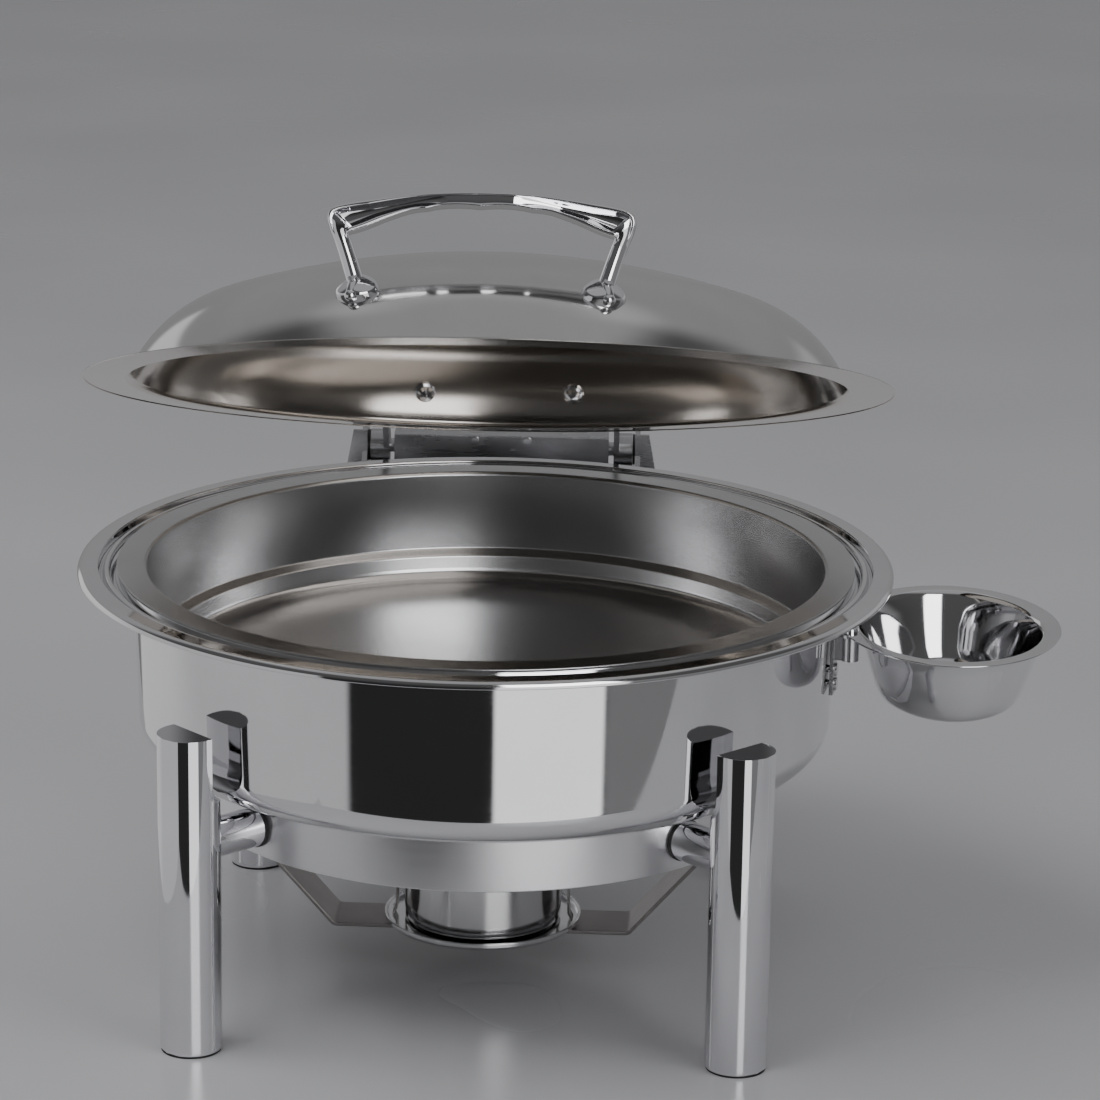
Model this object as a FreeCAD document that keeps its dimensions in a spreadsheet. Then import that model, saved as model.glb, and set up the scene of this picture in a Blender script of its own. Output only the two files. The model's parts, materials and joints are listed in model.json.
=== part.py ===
"""Round chafing dish: leg stand, water pan, food pan, hinged dome lid, fuel burner and side bowl.

Millimetres, +Z up, front towards -Y.  The origin is on the table, under the middle of the pan.
The lid stands part open, as it rests on its friction hinge.
"""
import FreeCAD, Part
import math
import os
import types

import Sketcher
from FreeCAD import Placement, Rotation, Vector

os.makedirs("parts", exist_ok=True)
doc = FreeCAD.newDocument("chafing_dish")

DIMENSIONS = {
    # water pan: a deep drawn dish with a channelled rim
    "pan_sheet": 1.2, "pan_bottom": 127, "pan_foot_radius": 183.4, "pan_wall_radius": 185.5,
    "pan_corner": 18, "rim_radius": 215, "rim_top": 225.5, "rim_drop": 4.3, "rim_bead": 4,
    "rim_inner": 204, "channel_floor": 219.5, "ridge_outer": 201.3, "ridge_inner": 198.2,
    "ridge_top": 223.7, "ledge_outer": 193.5, "ledge_top": 224,
    # food pan: a shallow stepped insert hanging on the ledge
    "food_sheet": 1, "food_flange_radius": 194.5, "food_flange_top": 225.25, "food_mouth": 178.5,
    "food_shoulder_top": 181, "food_shoulder_radius": 175.8, "food_step_radius": 171,
    "food_step_height": 178.3, "food_floor_radius": 168.3, "food_floor": 165, "food_corner": 8,
    # lid: flat flange, steep side arc and shallow crown arc
    "lid_seat": 227, "lid_sheet": 1, "lid_flange_radius": 213.7, "crown_radius": 460.5,
    "crown_height": 68.8, "side_radius": 74, "crown_edge": 143.1,
    "lid_open": 20.2, "hinge_back": 249, "hinge_height": 222,
    # stand: ring band, four notched tube legs, stub connectors
    "stand_turn": -2, "ring_radius": 155, "ring_wall": 2, "ring_bottom": 95.5, "ring_height": 31.2,
    "leg_circle": 197.2, "leg_radius": 16, "leg_bore": 14.5, "leg_top": 170, "foot_gap": 0.8,
    "notch_offset": -3, "notch_ledge": 133.3, "notch_round": 13, "plug_bottom": 118,
    "stub_radius": 10.5, "stub_height": 111, "gasket_thickness": 1.6, "gasket_radius": 11,
    "bolt_radius": 4, "bolt_head": 6.5, "bolt_head_height": 5.3, "bolt_reach": 20,
    "washer_radius": 9, "washer_thickness": 1.6, "hole_gap": 0.3,
    "glide_radius": 15.4, "glide_stem": 8,
    # burner holder
    "strap_width": 32, "strap_sheet": 2, "strap_tab": 152, "strap_tab_top": 120, "strap_bend": 103.3,
    "strap_half": 79.8, "strap_floor": 21.5, "strap_lean": 0.9, "saucer_radius": 53,
    "saucer_sheet": 1.2, "saucer_lip": 28, "clip_width": 9, "clip_top": 53, "screw_radius": 2.5,
    "screw_head": 4.8, "screw_head_height": 2.2,
    # fuel burner
    "cup_radius": 42.2, "cup_wall": 0.8, "cup_bottom": 26, "cup_top": 87, "fuel_top": 70,
    "cover_sheet": 1.2, "flame_radius": 18, "damper_radius": 22, "damper_pivot": 32,
    "pivot_radius": 2.5, "running_gap": 0.05,
    # hinge
    "hinge_pin": 4, "pin_half": 81.2, "pin_head": 6.5, "pin_head_height": 2.6, "ear_inside": 78,
    "ear_sheet": 3, "base_floor": 206.5, "base_sheet": 2.5, "base_wrap": 50, "base_wrap_inner": 185.7,
    "base_wrap_bottom": 176, "base_back": 262, "knuckle_inside": 65.5, "knuckle_outside": 76.5,
    "knuckle_radius": 9.5, "housing_half": 62.5, "housing_front": 238, "housing_depth": 23,
    "housing_floor": 209.2, "housing_height": 22.6, "housing_sheet": 1.5, "damper_barrel": 8,
    "damper_half": 55, "arm_sheet": 3.2, "bracket_gap": 0.3, "bracket_sheet": 2.4,
    "bracket_wrap": 50, "bracket_low": 22, "bracket_high": 48, "nut_azimuth": 13.6, "nut_lift": 35.6,
    "nut_radius": 5, "nut_height": 4.4, "stud_radius": 2.4, "rivet_azimuth": 15, "rivet_height": 191,
    # lid handle, in the plane of the closed lid
    "handle_y": -160, "handle_depth": 15, "handle_half": 75, "handle_top": 78.5, "handle_end_top": 68,
    "handle_under": 72, "handle_post_inner": 64.5, "handle_foot_inner": 55.5, "handle_foot_outer": 66.5,
    "handle_round": 2.4, "foot_azimuth": 20.7, "foot_lift": 46.6, "foot_pad_radius": 12,
    "foot_pad_height": 6,
    # side bowl and its pivot
    "bowl_x": 244.5, "bowl_y": -23, "bowl_half_width": 57.5, "bowl_half_length": 73,
    "bowl_rim": 201, "bowl_sheet": 1.2, "bowl_flange": 9, "bowl_depth": 40,
    "bowl_foot_half_width": 34, "bowl_foot_half_length": 49, "bowl_corner": 14, "pivot_x": 191.5, "pivot_y": -38,
    "sleeve_radius": 4.5, "sleeve_bottom": 185, "sleeve_top": 198, "bowl_pin": 2, "arm_plate": 1.6,
    "bracket_plate_bottom": 167, "bracket_plate_inner": 185.7, "bracket_plate_sheet": 2,
}


class Size:
    """A number with the spreadsheet expression that it comes from."""

    def __init__(self, value, text):
        self.value = float(value)
        self.text = text

    def __add__(self, other):
        return Size(self.value + number(other), f"({self.text} + {formula(other)})")

    def __radd__(self, other):
        return self + other

    def __sub__(self, other):
        return Size(self.value - number(other), f"({self.text} - {formula(other)})")

    def __rsub__(self, other):
        return -self + other

    def __mul__(self, other):
        return Size(self.value * number(other), f"({self.text} * {formula(other)})")

    def __rmul__(self, other):
        return self * other

    def __truediv__(self, other):
        return Size(self.value / number(other), f"({self.text} / {formula(other)})")

    def __neg__(self):
        return Size(-self.value, f"(-1 * {self.text})")


def number(size):
    return size.value if isinstance(size, Size) else float(size)


def formula(size):
    return size.text if isinstance(size, Size) else repr(float(size))


def cosine(angle):
    return Size(math.cos(math.radians(angle.value)), f"cos({angle.text} * 1 deg)")


def sine(angle):
    return Size(math.sin(math.radians(angle.value)), f"sin({angle.text} * 1 deg)")


def root(size):
    return Size(math.sqrt(size.value), f"sqrt({size.text})")


class Pose:
    """A placement with the expression that it comes from; poses are chained with *."""

    def __init__(self, value, text):
        self.value = value
        self.text = text

    def __mul__(self, other):
        return Pose(self.value * other.value, f"{self.text} * {other.text}")

    def give_to(self, item):
        item.Placement = self.value
        item.setExpression("Placement", self.text)
        return item


def pose(x=0, y=0, z=0, axis=(0, 0, 1), angle=0):
    value = Placement(Vector(number(x), number(y), number(z)), Rotation(Vector(*axis), number(angle)))
    direction = "; ".join(str(float(part)) for part in axis)
    text = (f"placement(vector({formula(x)}; {formula(y)}; {formula(z)}); "
            f"rotation(vector({direction}); {formula(angle)}))")
    return Pose(value, text)


# --- driving dimensions -------------------------------------------------------------------------

sheet = doc.addObject("Spreadsheet::Sheet", "Dims")
d = types.SimpleNamespace()
for row, (alias, value) in enumerate(DIMENSIONS.items(), start=1):
    sheet.set(f"A{row}", alias)
    sheet.set(f"B{row}", str(value))
    sheet.setAlias(f"B{row}", alias)
    setattr(d, alias, Size(value, f"Dims.{alias}"))
doc.recompute()

subparts = []


def keep(item, name):
    """Name a finished sub-part and list it for export."""
    item.Label = name
    subparts.append(item)
    return item


# --- sketch helpers -----------------------------------------------------------------------------

ORIGIN, X_AXIS, Y_AXIS = -1, -1, -2
START, END, CENTRE = 1, 2, 3


def new_body(name):
    return doc.addObject("PartDesign::Body", name + "_body")


def origin_item(body, role):
    return next(item for item in body.Origin.OriginFeatures if item.Role == role)


def sketch_on(body, role, x=0, y=0, z=0, turn=0):
    """A sketch on an origin plane, shifted in the plane's own axes and turned about its upright."""
    sketch = body.newObject("Sketcher::SketchObject", body.Name + "_sketch")
    sketch.AttachmentSupport = [(origin_item(body, role), "")]
    sketch.MapMode = "FlatFace"
    offset = pose(x, y, z) if number(turn) == 0 else pose(axis=(0, 1, 0), angle=turn) * pose(x, y, z)
    sketch.AttachmentOffset = offset.value
    sketch.setExpression("AttachmentOffset", offset.text)
    return sketch


def bind(sketch, constraint, size):
    index = sketch.addConstraint(constraint)
    if isinstance(size, Size):
        sketch.setExpression(f"Constraints[{index}]", size.text)


def fix_point(sketch, item, which, x, y):
    """Hold a point at x, y from the sketch's origin."""
    for size, kind, axis in ((x, "DistanceX", Y_AXIS), (y, "DistanceY", X_AXIS)):
        if abs(number(size)) < 1e-9:
            sketch.addConstraint(Sketcher.Constraint("PointOnObject", item, which, axis))
        else:
            bind(sketch, Sketcher.Constraint(kind, ORIGIN, 1, item, which, number(size)), size)


def outline(sketch, points):
    """A closed run of straight lines through the points."""
    first = sketch.GeometryCount
    corners = [Vector(number(x), number(y), 0) for x, y in points]
    for start, end in zip(corners, corners[1:] + corners[:1]):
        sketch.addGeometry(Part.LineSegment(start, end))
    for index, (x, y) in enumerate(points):
        after = first + (index + 1) % len(points)
        sketch.addConstraint(Sketcher.Constraint("Coincident", first + index, END, after, START))
        fix_point(sketch, first + index, START, x, y)
    return sketch


def disc(sketch, radius, x=0, y=0):
    item = sketch.addGeometry(Part.Circle(Vector(number(x), number(y), 0), Vector(0, 0, 1), number(radius)))
    fix_point(sketch, item, CENTRE, x, y)
    bind(sketch, Sketcher.Constraint("Radius", item, number(radius)), radius)
    return sketch


def box_outline(sketch, low_x, low_y, high_x, high_y):
    return outline(sketch, [(low_x, low_y), (high_x, low_y), (high_x, high_y), (low_x, high_y)])


def arc(sketch, x, y, radius, start_angle, end_angle):
    """An arc about a fixed centre; angles in degrees set only where it starts out."""
    circle = Part.Circle(Vector(number(x), number(y), 0), Vector(0, 0, 1), number(radius))
    item = sketch.addGeometry(Part.ArcOfCircle(circle, math.radians(start_angle), math.radians(end_angle)))
    fix_point(sketch, item, CENTRE, x, y)
    bind(sketch, Sketcher.Constraint("Radius", item, number(radius)), radius)
    return item


def join(sketch, item, which, other, other_which):
    """A straight line between the ends of two curves."""
    start = sketch.getPoint(item, which)
    end = sketch.getPoint(other, other_which)
    line = sketch.addGeometry(Part.LineSegment(start, end))
    sketch.addConstraint(Sketcher.Constraint("Coincident", line, START, item, which))
    sketch.addConstraint(Sketcher.Constraint("Coincident", line, END, other, other_which))
    return line


# --- feature helpers ----------------------------------------------------------------------------

def add_feature(body, kind, profile=None):
    feature = body.newObject("PartDesign::" + kind, body.Name + "_" + kind.lower())
    if profile is not None:
        feature.Profile = profile
        profile.Visibility = False
    return feature


def extrude(body, kind, sketch, length, symmetric=False, reverse=False):
    feature = add_feature(body, kind, sketch)
    feature.Length = number(length)
    if isinstance(length, Size):
        feature.setExpression("Length", length.text)
    if symmetric:
        feature.SideType = "Symmetric"
    feature.Reversed = reverse
    doc.recompute()
    return feature


def pad(body, sketch, length, symmetric=False, reverse=False):
    return extrude(body, "Pad", sketch, length, symmetric, reverse)


def pocket(body, sketch, length, symmetric=False):
    """Cut along the sketch's normal, and stop if nothing was removed."""
    before = body.Tip.Shape.Volume
    feature = extrude(body, "Pocket", sketch, length, symmetric, reverse=True)
    if feature.Shape.Volume > before - 1e-6:
        raise RuntimeError(feature.Name + " removed nothing")
    return feature


def revolve(body, sketch, axis="V_Axis", angle=360, kind="Revolution"):
    feature = add_feature(body, kind, sketch)
    feature.ReferenceAxis = (sketch, [axis])
    feature.Angle = number(angle)
    if isinstance(angle, Size):
        feature.setExpression("Angle", angle.text)
        feature.Midplane = True
    doc.recompute()
    return feature


def round_edges(body, radius, wanted):
    """Fillet the tip's edges that wanted() picks."""
    base = body.Tip
    names = [f"Edge{index}" for index, edge in enumerate(base.Shape.Edges, start=1) if wanted(edge)]
    if not names:
        raise RuntimeError(body.Name + " has no edge to round")
    feature = add_feature(body, "Fillet")
    feature.Base = (base, names)
    feature.Radius = number(radius)
    if isinstance(radius, Size):
        feature.setExpression("Radius", radius.text)
    doc.recompute()
    return feature


def circles_at(*places):
    """Picks full circles about the Z axis by radius and height."""
    spots = [(number(radius), number(height)) for radius, height in places]

    def wanted(edge):
        if not isinstance(edge.Curve, Part.Circle):
            return False
        centre = edge.Curve.Center
        return math.hypot(centre.x, centre.y) < 0.01 and any(
            abs(edge.Curve.Radius - radius) < 0.05 and abs(centre.z - height) < 0.05
            for radius, height in spots)
    return wanted


def lines_along(direction):
    axis = Vector(*direction)

    def wanted(edge):
        return isinstance(edge.Curve, Part.Line) and abs(abs(edge.Curve.Direction.dot(axis)) - 1) < 1e-6
    return wanted


def pattern_round(body, count):
    """Repeat the whole shape about Z."""
    feature = add_feature(body, "PolarPattern")
    feature.Axis = (origin_item(body, "Z_Axis"), [""])
    feature.Occurrences = count
    feature.Angle = 360
    feature.TransformMode = "Whole shape"
    body.Tip = feature
    doc.recompute()


def mirror_across(body, role, originals=None):
    feature = add_feature(body, "Mirrored")
    feature.MirrorPlane = (origin_item(body, role), [""])
    if originals:
        feature.Originals = originals
    else:
        feature.TransformMode = "Whole shape"
    body.Tip = feature
    doc.recompute()


def drill(name, radius, length, place):
    """A cutting cylinder centred on the place, along the place's own Z."""
    tool = doc.addObject("Part::Cylinder", name)
    tool.Radius = number(radius)
    tool.setExpression("Radius", formula(radius))
    tool.Height = number(length)
    tool.setExpression("Height", formula(length))
    return (place * pose(z=length * -0.5)).give_to(tool)


def boolean_cut(name, base, tools):
    cutter = tools[0]
    if len(tools) > 1:
        cutter = doc.addObject("Part::MultiFuse", name + "_tools")
        cutter.Shapes = tools
    cut = doc.addObject("Part::Cut", name + "_cut")
    cut.Base = base
    cut.Tool = cutter
    doc.recompute()
    return cut


def pin_body(name, head_radius, head_height, shank_radius, shank_length):
    """A pin along Z with its head above z = 0 and its shank below."""
    body = new_body(name)
    pad(body, disc(sketch_on(body, "XY_Plane"), shank_radius), shank_length, reverse=True)
    pad(body, disc(sketch_on(body, "XY_Plane"), head_radius), head_height)
    return body


# --- poses shared by several sub-parts ----------------------------------------------------------

LEG_AZIMUTHS = {"front_right": -45, "rear_right": 45, "rear_left": 135, "front_left": 225}
stand_square = pose(angle=d.stand_turn)
stand_diagonal = pose(angle=d.stand_turn + 45)
lid_pose = pose(
    y=d.hinge_back - d.hinge_back * cosine(d.lid_open) - d.hinge_height * sine(d.lid_open),
    z=d.hinge_height + d.hinge_back * sine(d.lid_open) - d.hinge_height * cosine(d.lid_open),
    axis=(-1, 0, 0), angle=d.lid_open)


def radial_pose(radius, azimuth, height, lift):
    """At a radius, azimuth and height, with Z pointing outwards and raised by lift degrees."""
    return (pose(angle=azimuth) * pose(x=radius, z=height)
            * pose(axis=(0, 1, 0), angle=90 - lift))


def hinge_rivet_pose(radius, side):
    """Pointing straight out from the pan's back wall, to the right for side -1 and the left for 1."""
    return radial_pose(radius, 90 + side * d.rivet_azimuth, d.rivet_height, Size(0, "0"))


# === stand ======================================================================================

def notch(body):
    """Cut the pan's seat out of the inner side of a leg standing on the +X axis."""
    sketch = sketch_on(body, "XZ_Plane")
    face = d.leg_circle + d.notch_offset
    inner = d.leg_circle - d.leg_radius - 2
    above = d.leg_top + 2
    corner = arc(sketch, face - d.notch_round, d.notch_ledge + d.notch_round, d.notch_round, -90, 0)
    sketch.addConstraint(Sketcher.Constraint("Vertical", corner, CENTRE, corner, START))
    sketch.addConstraint(Sketcher.Constraint("Horizontal", corner, CENTRE, corner, END))
    low = sketch.getPoint(corner, START)
    corners = [low, Vector(number(inner), low.y, 0), Vector(number(inner), number(above), 0),
               Vector(number(face), number(above), 0), sketch.getPoint(corner, END)]
    lines = [sketch.addGeometry(Part.LineSegment(a, b)) for a, b in zip(corners, corners[1:])]
    for line, after in zip(lines, lines[1:]):
        sketch.addConstraint(Sketcher.Constraint("Coincident", line, END, after, START))
    sketch.addConstraint(Sketcher.Constraint("Coincident", lines[0], START, corner, START))
    sketch.addConstraint(Sketcher.Constraint("Coincident", lines[3], END, corner, END))
    fix_point(sketch, lines[1], START, inner, d.notch_ledge)
    fix_point(sketch, lines[1], END, inner, above)
    sketch.addConstraint(Sketcher.Constraint("Horizontal", lines[2]))
    sketch.addConstraint(Sketcher.Constraint("Vertical", lines[3]))
    pocket(body, sketch, d.leg_radius * 3, symmetric=True)


def make_leg(corner, azimuth):
    body = new_body("leg_" + corner)
    sketch = sketch_on(body, "XY_Plane", z=d.foot_gap)
    disc(sketch, d.leg_radius, x=d.leg_circle)
    disc(sketch, d.leg_bore, x=d.leg_circle)
    pad(body, sketch, d.leg_top - d.foot_gap)
    notch(body)
    pose(angle=d.stand_turn + azimuth).give_to(body)
    keep(body, "leg_" + corner)


def make_leg_plugs():
    body = new_body("leg_end_plugs")
    sketch = disc(sketch_on(body, "XY_Plane", z=d.plug_bottom), d.leg_bore, x=d.leg_circle)
    pad(body, sketch, d.leg_top - d.plug_bottom)
    notch(body)
    pattern_round(body, 4)
    keep(stand_diagonal.give_to(body), "leg_end_plugs")


def make_foot_glides():
    body = new_body("foot_glides")
    pad(body, disc(sketch_on(body, "XY_Plane"), d.glide_radius, x=d.leg_circle), d.foot_gap)
    pad(body, disc(sketch_on(body, "XY_Plane"), d.leg_bore, x=d.leg_circle), d.glide_stem)
    pattern_round(body, 4)
    keep(stand_diagonal.give_to(body), "foot_glides")


def make_ring():
    body = new_body("stand_ring")
    sketch = sketch_on(body, "XY_Plane", z=d.ring_bottom)
    disc(sketch, d.ring_radius)
    disc(sketch, d.ring_radius - d.ring_wall)
    pad(body, sketch, d.ring_height)
    across = d.ring_radius * 2 + 10
    for plane in ("XZ_Plane", "YZ_Plane"):
        holes = disc(sketch_on(body, plane), d.bolt_radius + d.hole_gap, y=d.stub_height)
        pocket(body, holes, across, symmetric=True)
    strap_holes = disc(sketch_on(body, "YZ_Plane", turn=-45), d.screw_radius + d.hole_gap, y=d.stub_height)
    pocket(body, strap_holes, across, symmetric=True)
    keep(stand_diagonal.give_to(body), "stand_ring")


def make_stubs():
    body = new_body("ring_stubs")
    start = d.ring_radius + d.gasket_thickness
    pad(body, disc(sketch_on(body, "YZ_Plane", z=start), d.stub_radius, y=d.stub_height),
        d.leg_circle - start)
    pocket(body, disc(sketch_on(body, "XY_Plane"), d.leg_radius, x=d.leg_circle), d.leg_top)
    bore = disc(sketch_on(body, "YZ_Plane", z=start), d.bolt_radius + 0.1, y=d.stub_height)
    pocket(body, bore, d.bolt_reach - 3)
    pattern_round(body, 4)
    keep(stand_diagonal.give_to(body), "ring_stubs")

    body = new_body("stub_gaskets")
    start = d.ring_radius - 2
    ring = sketch_on(body, "YZ_Plane", z=start)
    disc(ring, d.gasket_radius, y=d.stub_height)
    disc(ring, d.bolt_radius + d.hole_gap, y=d.stub_height)
    pad(body, ring, d.gasket_thickness + 2)
    pocket(body, disc(sketch_on(body, "XY_Plane"), d.ring_radius), d.leg_top)
    pattern_round(body, 4)
    keep(stand_diagonal.give_to(body), "stub_gaskets")


def make_stub_bolts():
    inner = d.ring_radius - d.ring_wall
    body = new_body("stub_bolts")
    seat = inner - d.washer_thickness - 0.6
    hexagon = sketch_on(body, "YZ_Plane", z=seat)
    corners = [math.radians(60 * index + 30) for index in range(6)]
    outline(hexagon, [(d.bolt_head * round(math.cos(a), 9), d.stub_height + d.bolt_head * math.sin(a))
                      for a in corners])
    pad(body, hexagon, d.bolt_head_height, reverse=True)
    shank = disc(sketch_on(body, "YZ_Plane", z=seat), d.bolt_radius, y=d.stub_height)
    pad(body, shank, d.bolt_reach + d.ring_wall)
    pattern_round(body, 4)
    keep(stand_diagonal.give_to(body), "stub_bolts")

    body = new_body("stub_washers")
    ring = sketch_on(body, "YZ_Plane", z=seat)
    disc(ring, d.washer_radius, y=d.stub_height)
    disc(ring, d.bolt_radius + d.hole_gap, y=d.stub_height)
    pad(body, ring, d.washer_thickness)
    pattern_round(body, 4)
    keep(stand_diagonal.give_to(body), "stub_washers")


def make_strap():
    """One flat strip, bent down from the ring on both sides to carry the burner."""
    body = new_body("burner_strap")
    sheet_ = d.strap_sheet
    outer = [(d.strap_tab, d.strap_tab_top), (d.strap_tab, d.strap_bend), (d.strap_half, d.strap_floor)]
    inner = [(d.strap_half - d.strap_lean, d.strap_floor + sheet_),
             (d.strap_tab - sheet_, d.strap_bend + d.strap_lean), (d.strap_tab - sheet_, d.strap_tab_top)]
    left_outer = [(-x, y) for x, y in reversed(outer)]
    left_inner = [(-x, y) for x, y in reversed(inner)]
    sketch = outline(sketch_on(body, "XZ_Plane"), outer + left_outer + left_inner + inner)
    pad(body, sketch, d.strap_width, symmetric=True)
    tab_holes = disc(sketch_on(body, "YZ_Plane"), d.screw_radius + d.hole_gap, y=d.stub_height)
    pocket(body, tab_holes, d.ring_radius * 2, symmetric=True)
    floor_hole = disc(sketch_on(body, "XY_Plane"), d.screw_radius + d.hole_gap)
    pocket(body, floor_hole, d.strap_bend)
    keep(stand_square.give_to(body), "burner_strap")

    body = new_body("strap_screws")
    head = disc(sketch_on(body, "YZ_Plane", z=d.ring_radius + 0.1), d.screw_head, y=d.stub_height)
    pad(body, head, d.screw_head_height)
    shank = disc(sketch_on(body, "YZ_Plane", z=d.ring_radius + 0.1), d.screw_radius, y=d.stub_height)
    pad(body, shank, 8, reverse=True)
    nut = sketch_on(body, "YZ_Plane", z=d.strap_tab - sheet_ - 0.1)
    disc(nut, d.screw_head, y=d.stub_height)
    pad(body, nut, 2, reverse=True)
    mirror_across(body, "YZ_Plane")
    keep(stand_square.give_to(body), "strap_screws")


def make_burner_holder():
    floor = d.strap_floor + d.strap_sheet
    body = new_body("burner_saucer")
    sheet_ = d.saucer_sheet
    rim = d.saucer_radius
    sketch = outline(sketch_on(body, "XZ_Plane"), [
        (d.screw_radius + d.hole_gap, floor), (rim - 2, floor), (rim, floor + 2), (rim, d.saucer_lip),
        (rim - sheet_, d.saucer_lip), (rim - sheet_, floor + 2.4), (rim - 2.4, floor + sheet_),
        (d.screw_radius + d.hole_gap, floor + sheet_)])
    revolve(body, sketch)
    keep(body, "burner_saucer")

    body = new_body("saucer_rivet")
    profile = outline(sketch_on(body, "XZ_Plane"), [
        (0, d.strap_floor - 1.5), (d.screw_head, d.strap_floor - 1.5), (d.screw_head, d.strap_floor),
        (d.screw_radius, d.strap_floor), (d.screw_radius, floor + sheet_),
        (d.screw_head, floor + sheet_), (d.screw_head - 1, floor + sheet_ + 0.9),
        (0, floor + sheet_ + 0.9)])
    revolve(body, profile)
    keep(body, "saucer_rivet")

    body = new_body("burner_clips")
    seat = floor + sheet_
    inside = rim - sheet_
    outer = [(inside - 2.8, seat), (inside - 4.8, seat + 4), (inside - 5, seat + 19),
             (inside - 7.9, seat + 24.5), (inside - 6.2, d.clip_top)]
    strip = outer + [(x - 1, y) for x, y in reversed(outer)]
    sketch = outline(sketch_on(body, "XZ_Plane"), strip)
    pad(body, sketch, d.clip_width, symmetric=True)
    mirror_across(body, "YZ_Plane")
    keep(stand_square.give_to(body), "burner_clips")


# === fuel burner ================================================================================

def make_burner():
    body = new_body("burner_cup")
    wall = d.cup_wall
    sketch = outline(sketch_on(body, "XZ_Plane"), [
        (0, d.cup_bottom), (d.cup_radius, d.cup_bottom), (d.cup_radius, d.cup_top),
        (d.cup_radius - wall, d.cup_top), (d.cup_radius - wall, d.cup_bottom + wall),
        (0, d.cup_bottom + wall)])
    revolve(body, sketch)
    round_edges(body, 1.5, circles_at((d.cup_radius, d.cup_bottom)))
    keep(body, "burner_cup")

    body = new_body("fuel_charge")
    pad(body, disc(sketch_on(body, "XY_Plane", z=d.cup_bottom + wall), d.cup_radius - wall - 0.2),
        d.fuel_top - d.cup_bottom)
    keep(body, "fuel_charge")

    body = new_body("burner_cover")
    skirt = d.cup_radius - wall - 0.1
    top = d.cup_top + d.cover_sheet
    sketch = outline(sketch_on(body, "XZ_Plane"), [
        (d.flame_radius, d.cup_top), (skirt - 1, d.cup_top), (skirt - 1, d.cup_top - 6),
        (skirt, d.cup_top - 6), (skirt, d.cup_top), (d.cup_radius + 0.8, d.cup_top),
        (d.cup_radius + 0.8, top), (d.flame_radius, top)])
    revolve(body, sketch)
    pivot_hole = disc(sketch_on(body, "XY_Plane", z=d.cup_top - 1), d.pivot_radius, y=d.damper_pivot)
    pocket(body, pivot_hole, 4)
    keep(body, "burner_cover")

    body = new_body("burner_damper")
    plate = sketch_on(body, "XY_Plane", z=top + 0.3)
    disc(plate, d.damper_radius)
    pad(body, plate, d.cover_sheet)
    tail = sketch_on(body, "XY_Plane", z=top + 0.3)
    box_outline(tail, -6, 0, 6, d.damper_pivot)
    pad(body, tail, d.cover_sheet)
    eye = disc(sketch_on(body, "XY_Plane", z=top + 0.3), 6, y=d.damper_pivot)
    pad(body, eye, d.cover_sheet)
    hole = disc(sketch_on(body, "XY_Plane", z=top), d.pivot_radius + d.running_gap, y=d.damper_pivot)
    pocket(body, hole, 4)
    tab = sketch_on(body, "XY_Plane", z=top + 0.3)
    box_outline(tab, -5, -d.damper_radius - 9, 5, -d.damper_radius + 4)
    pad(body, tab, d.cover_sheet)
    keep(body, "burner_damper")

    pin = pin_body("damper_rivet", 4, 1.2, d.pivot_radius, 6)
    place = pose(y=d.damper_pivot, z=top + d.cover_sheet + 0.6)
    keep(place.give_to(pin), "damper_rivet")


# === pans =======================================================================================

def make_water_pan():
    body = new_body("water_pan")
    t = d.pan_sheet
    under_channel = d.channel_floor - t
    under_ledge = d.ledge_top - t
    drop = d.rim_top - d.rim_drop
    profile = [
        (0, d.pan_bottom), (d.pan_foot_radius, d.pan_bottom),
        (d.pan_wall_radius, under_ledge), (d.ledge_outer - t, under_ledge),
        (d.ledge_outer - t, under_channel), (d.rim_inner + t, under_channel),
        (d.rim_inner + t, d.rim_top - t), (d.rim_radius - d.rim_bead, d.rim_top - t),
        (d.rim_radius - d.rim_bead, drop), (d.rim_radius, drop), (d.rim_radius, d.rim_top),
        (d.rim_inner, d.rim_top), (d.rim_inner, d.channel_floor),
        (d.ridge_outer, d.channel_floor), (d.ridge_outer, d.ridge_top),
        (d.ridge_inner, d.ridge_top), (d.ridge_inner, d.channel_floor),
        (d.ledge_outer, d.channel_floor), (d.ledge_outer, d.ledge_top),
        (d.pan_wall_radius - t, d.ledge_top), (d.pan_foot_radius - t, d.pan_bottom + t),
        (0, d.pan_bottom + t)]
    revolve(body, outline(sketch_on(body, "XZ_Plane"), profile))
    round_edges(body, d.pan_corner, circles_at((d.pan_foot_radius, d.pan_bottom)))
    round_edges(body, d.pan_corner - t, circles_at((d.pan_foot_radius - t, d.pan_bottom + t)))
    round_edges(body, 1.6, circles_at((d.rim_radius, drop), (d.rim_radius, d.rim_top)))
    round_edges(body, 0.8, circles_at((d.rim_inner, d.rim_top), (d.ridge_outer, d.ridge_top),
                                      (d.ridge_inner, d.ridge_top), (d.ledge_outer, d.ledge_top)))
    drills = [drill(f"hinge_drill_{side}", d.screw_radius, 12, hinge_rivet_pose(d.pan_wall_radius, side))
              for side in (-1, 1)]
    drills += [drill(f"bowl_drill_{step}", 2, 12,
                     bowl_bracket_pose * pose(x=d.pan_wall_radius, z=height, axis=(0, 1, 0), angle=90))
               for step, height in enumerate(bowl_rivet_heights)]
    keep(boolean_cut("water_pan", body, drills), "water_pan")


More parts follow.
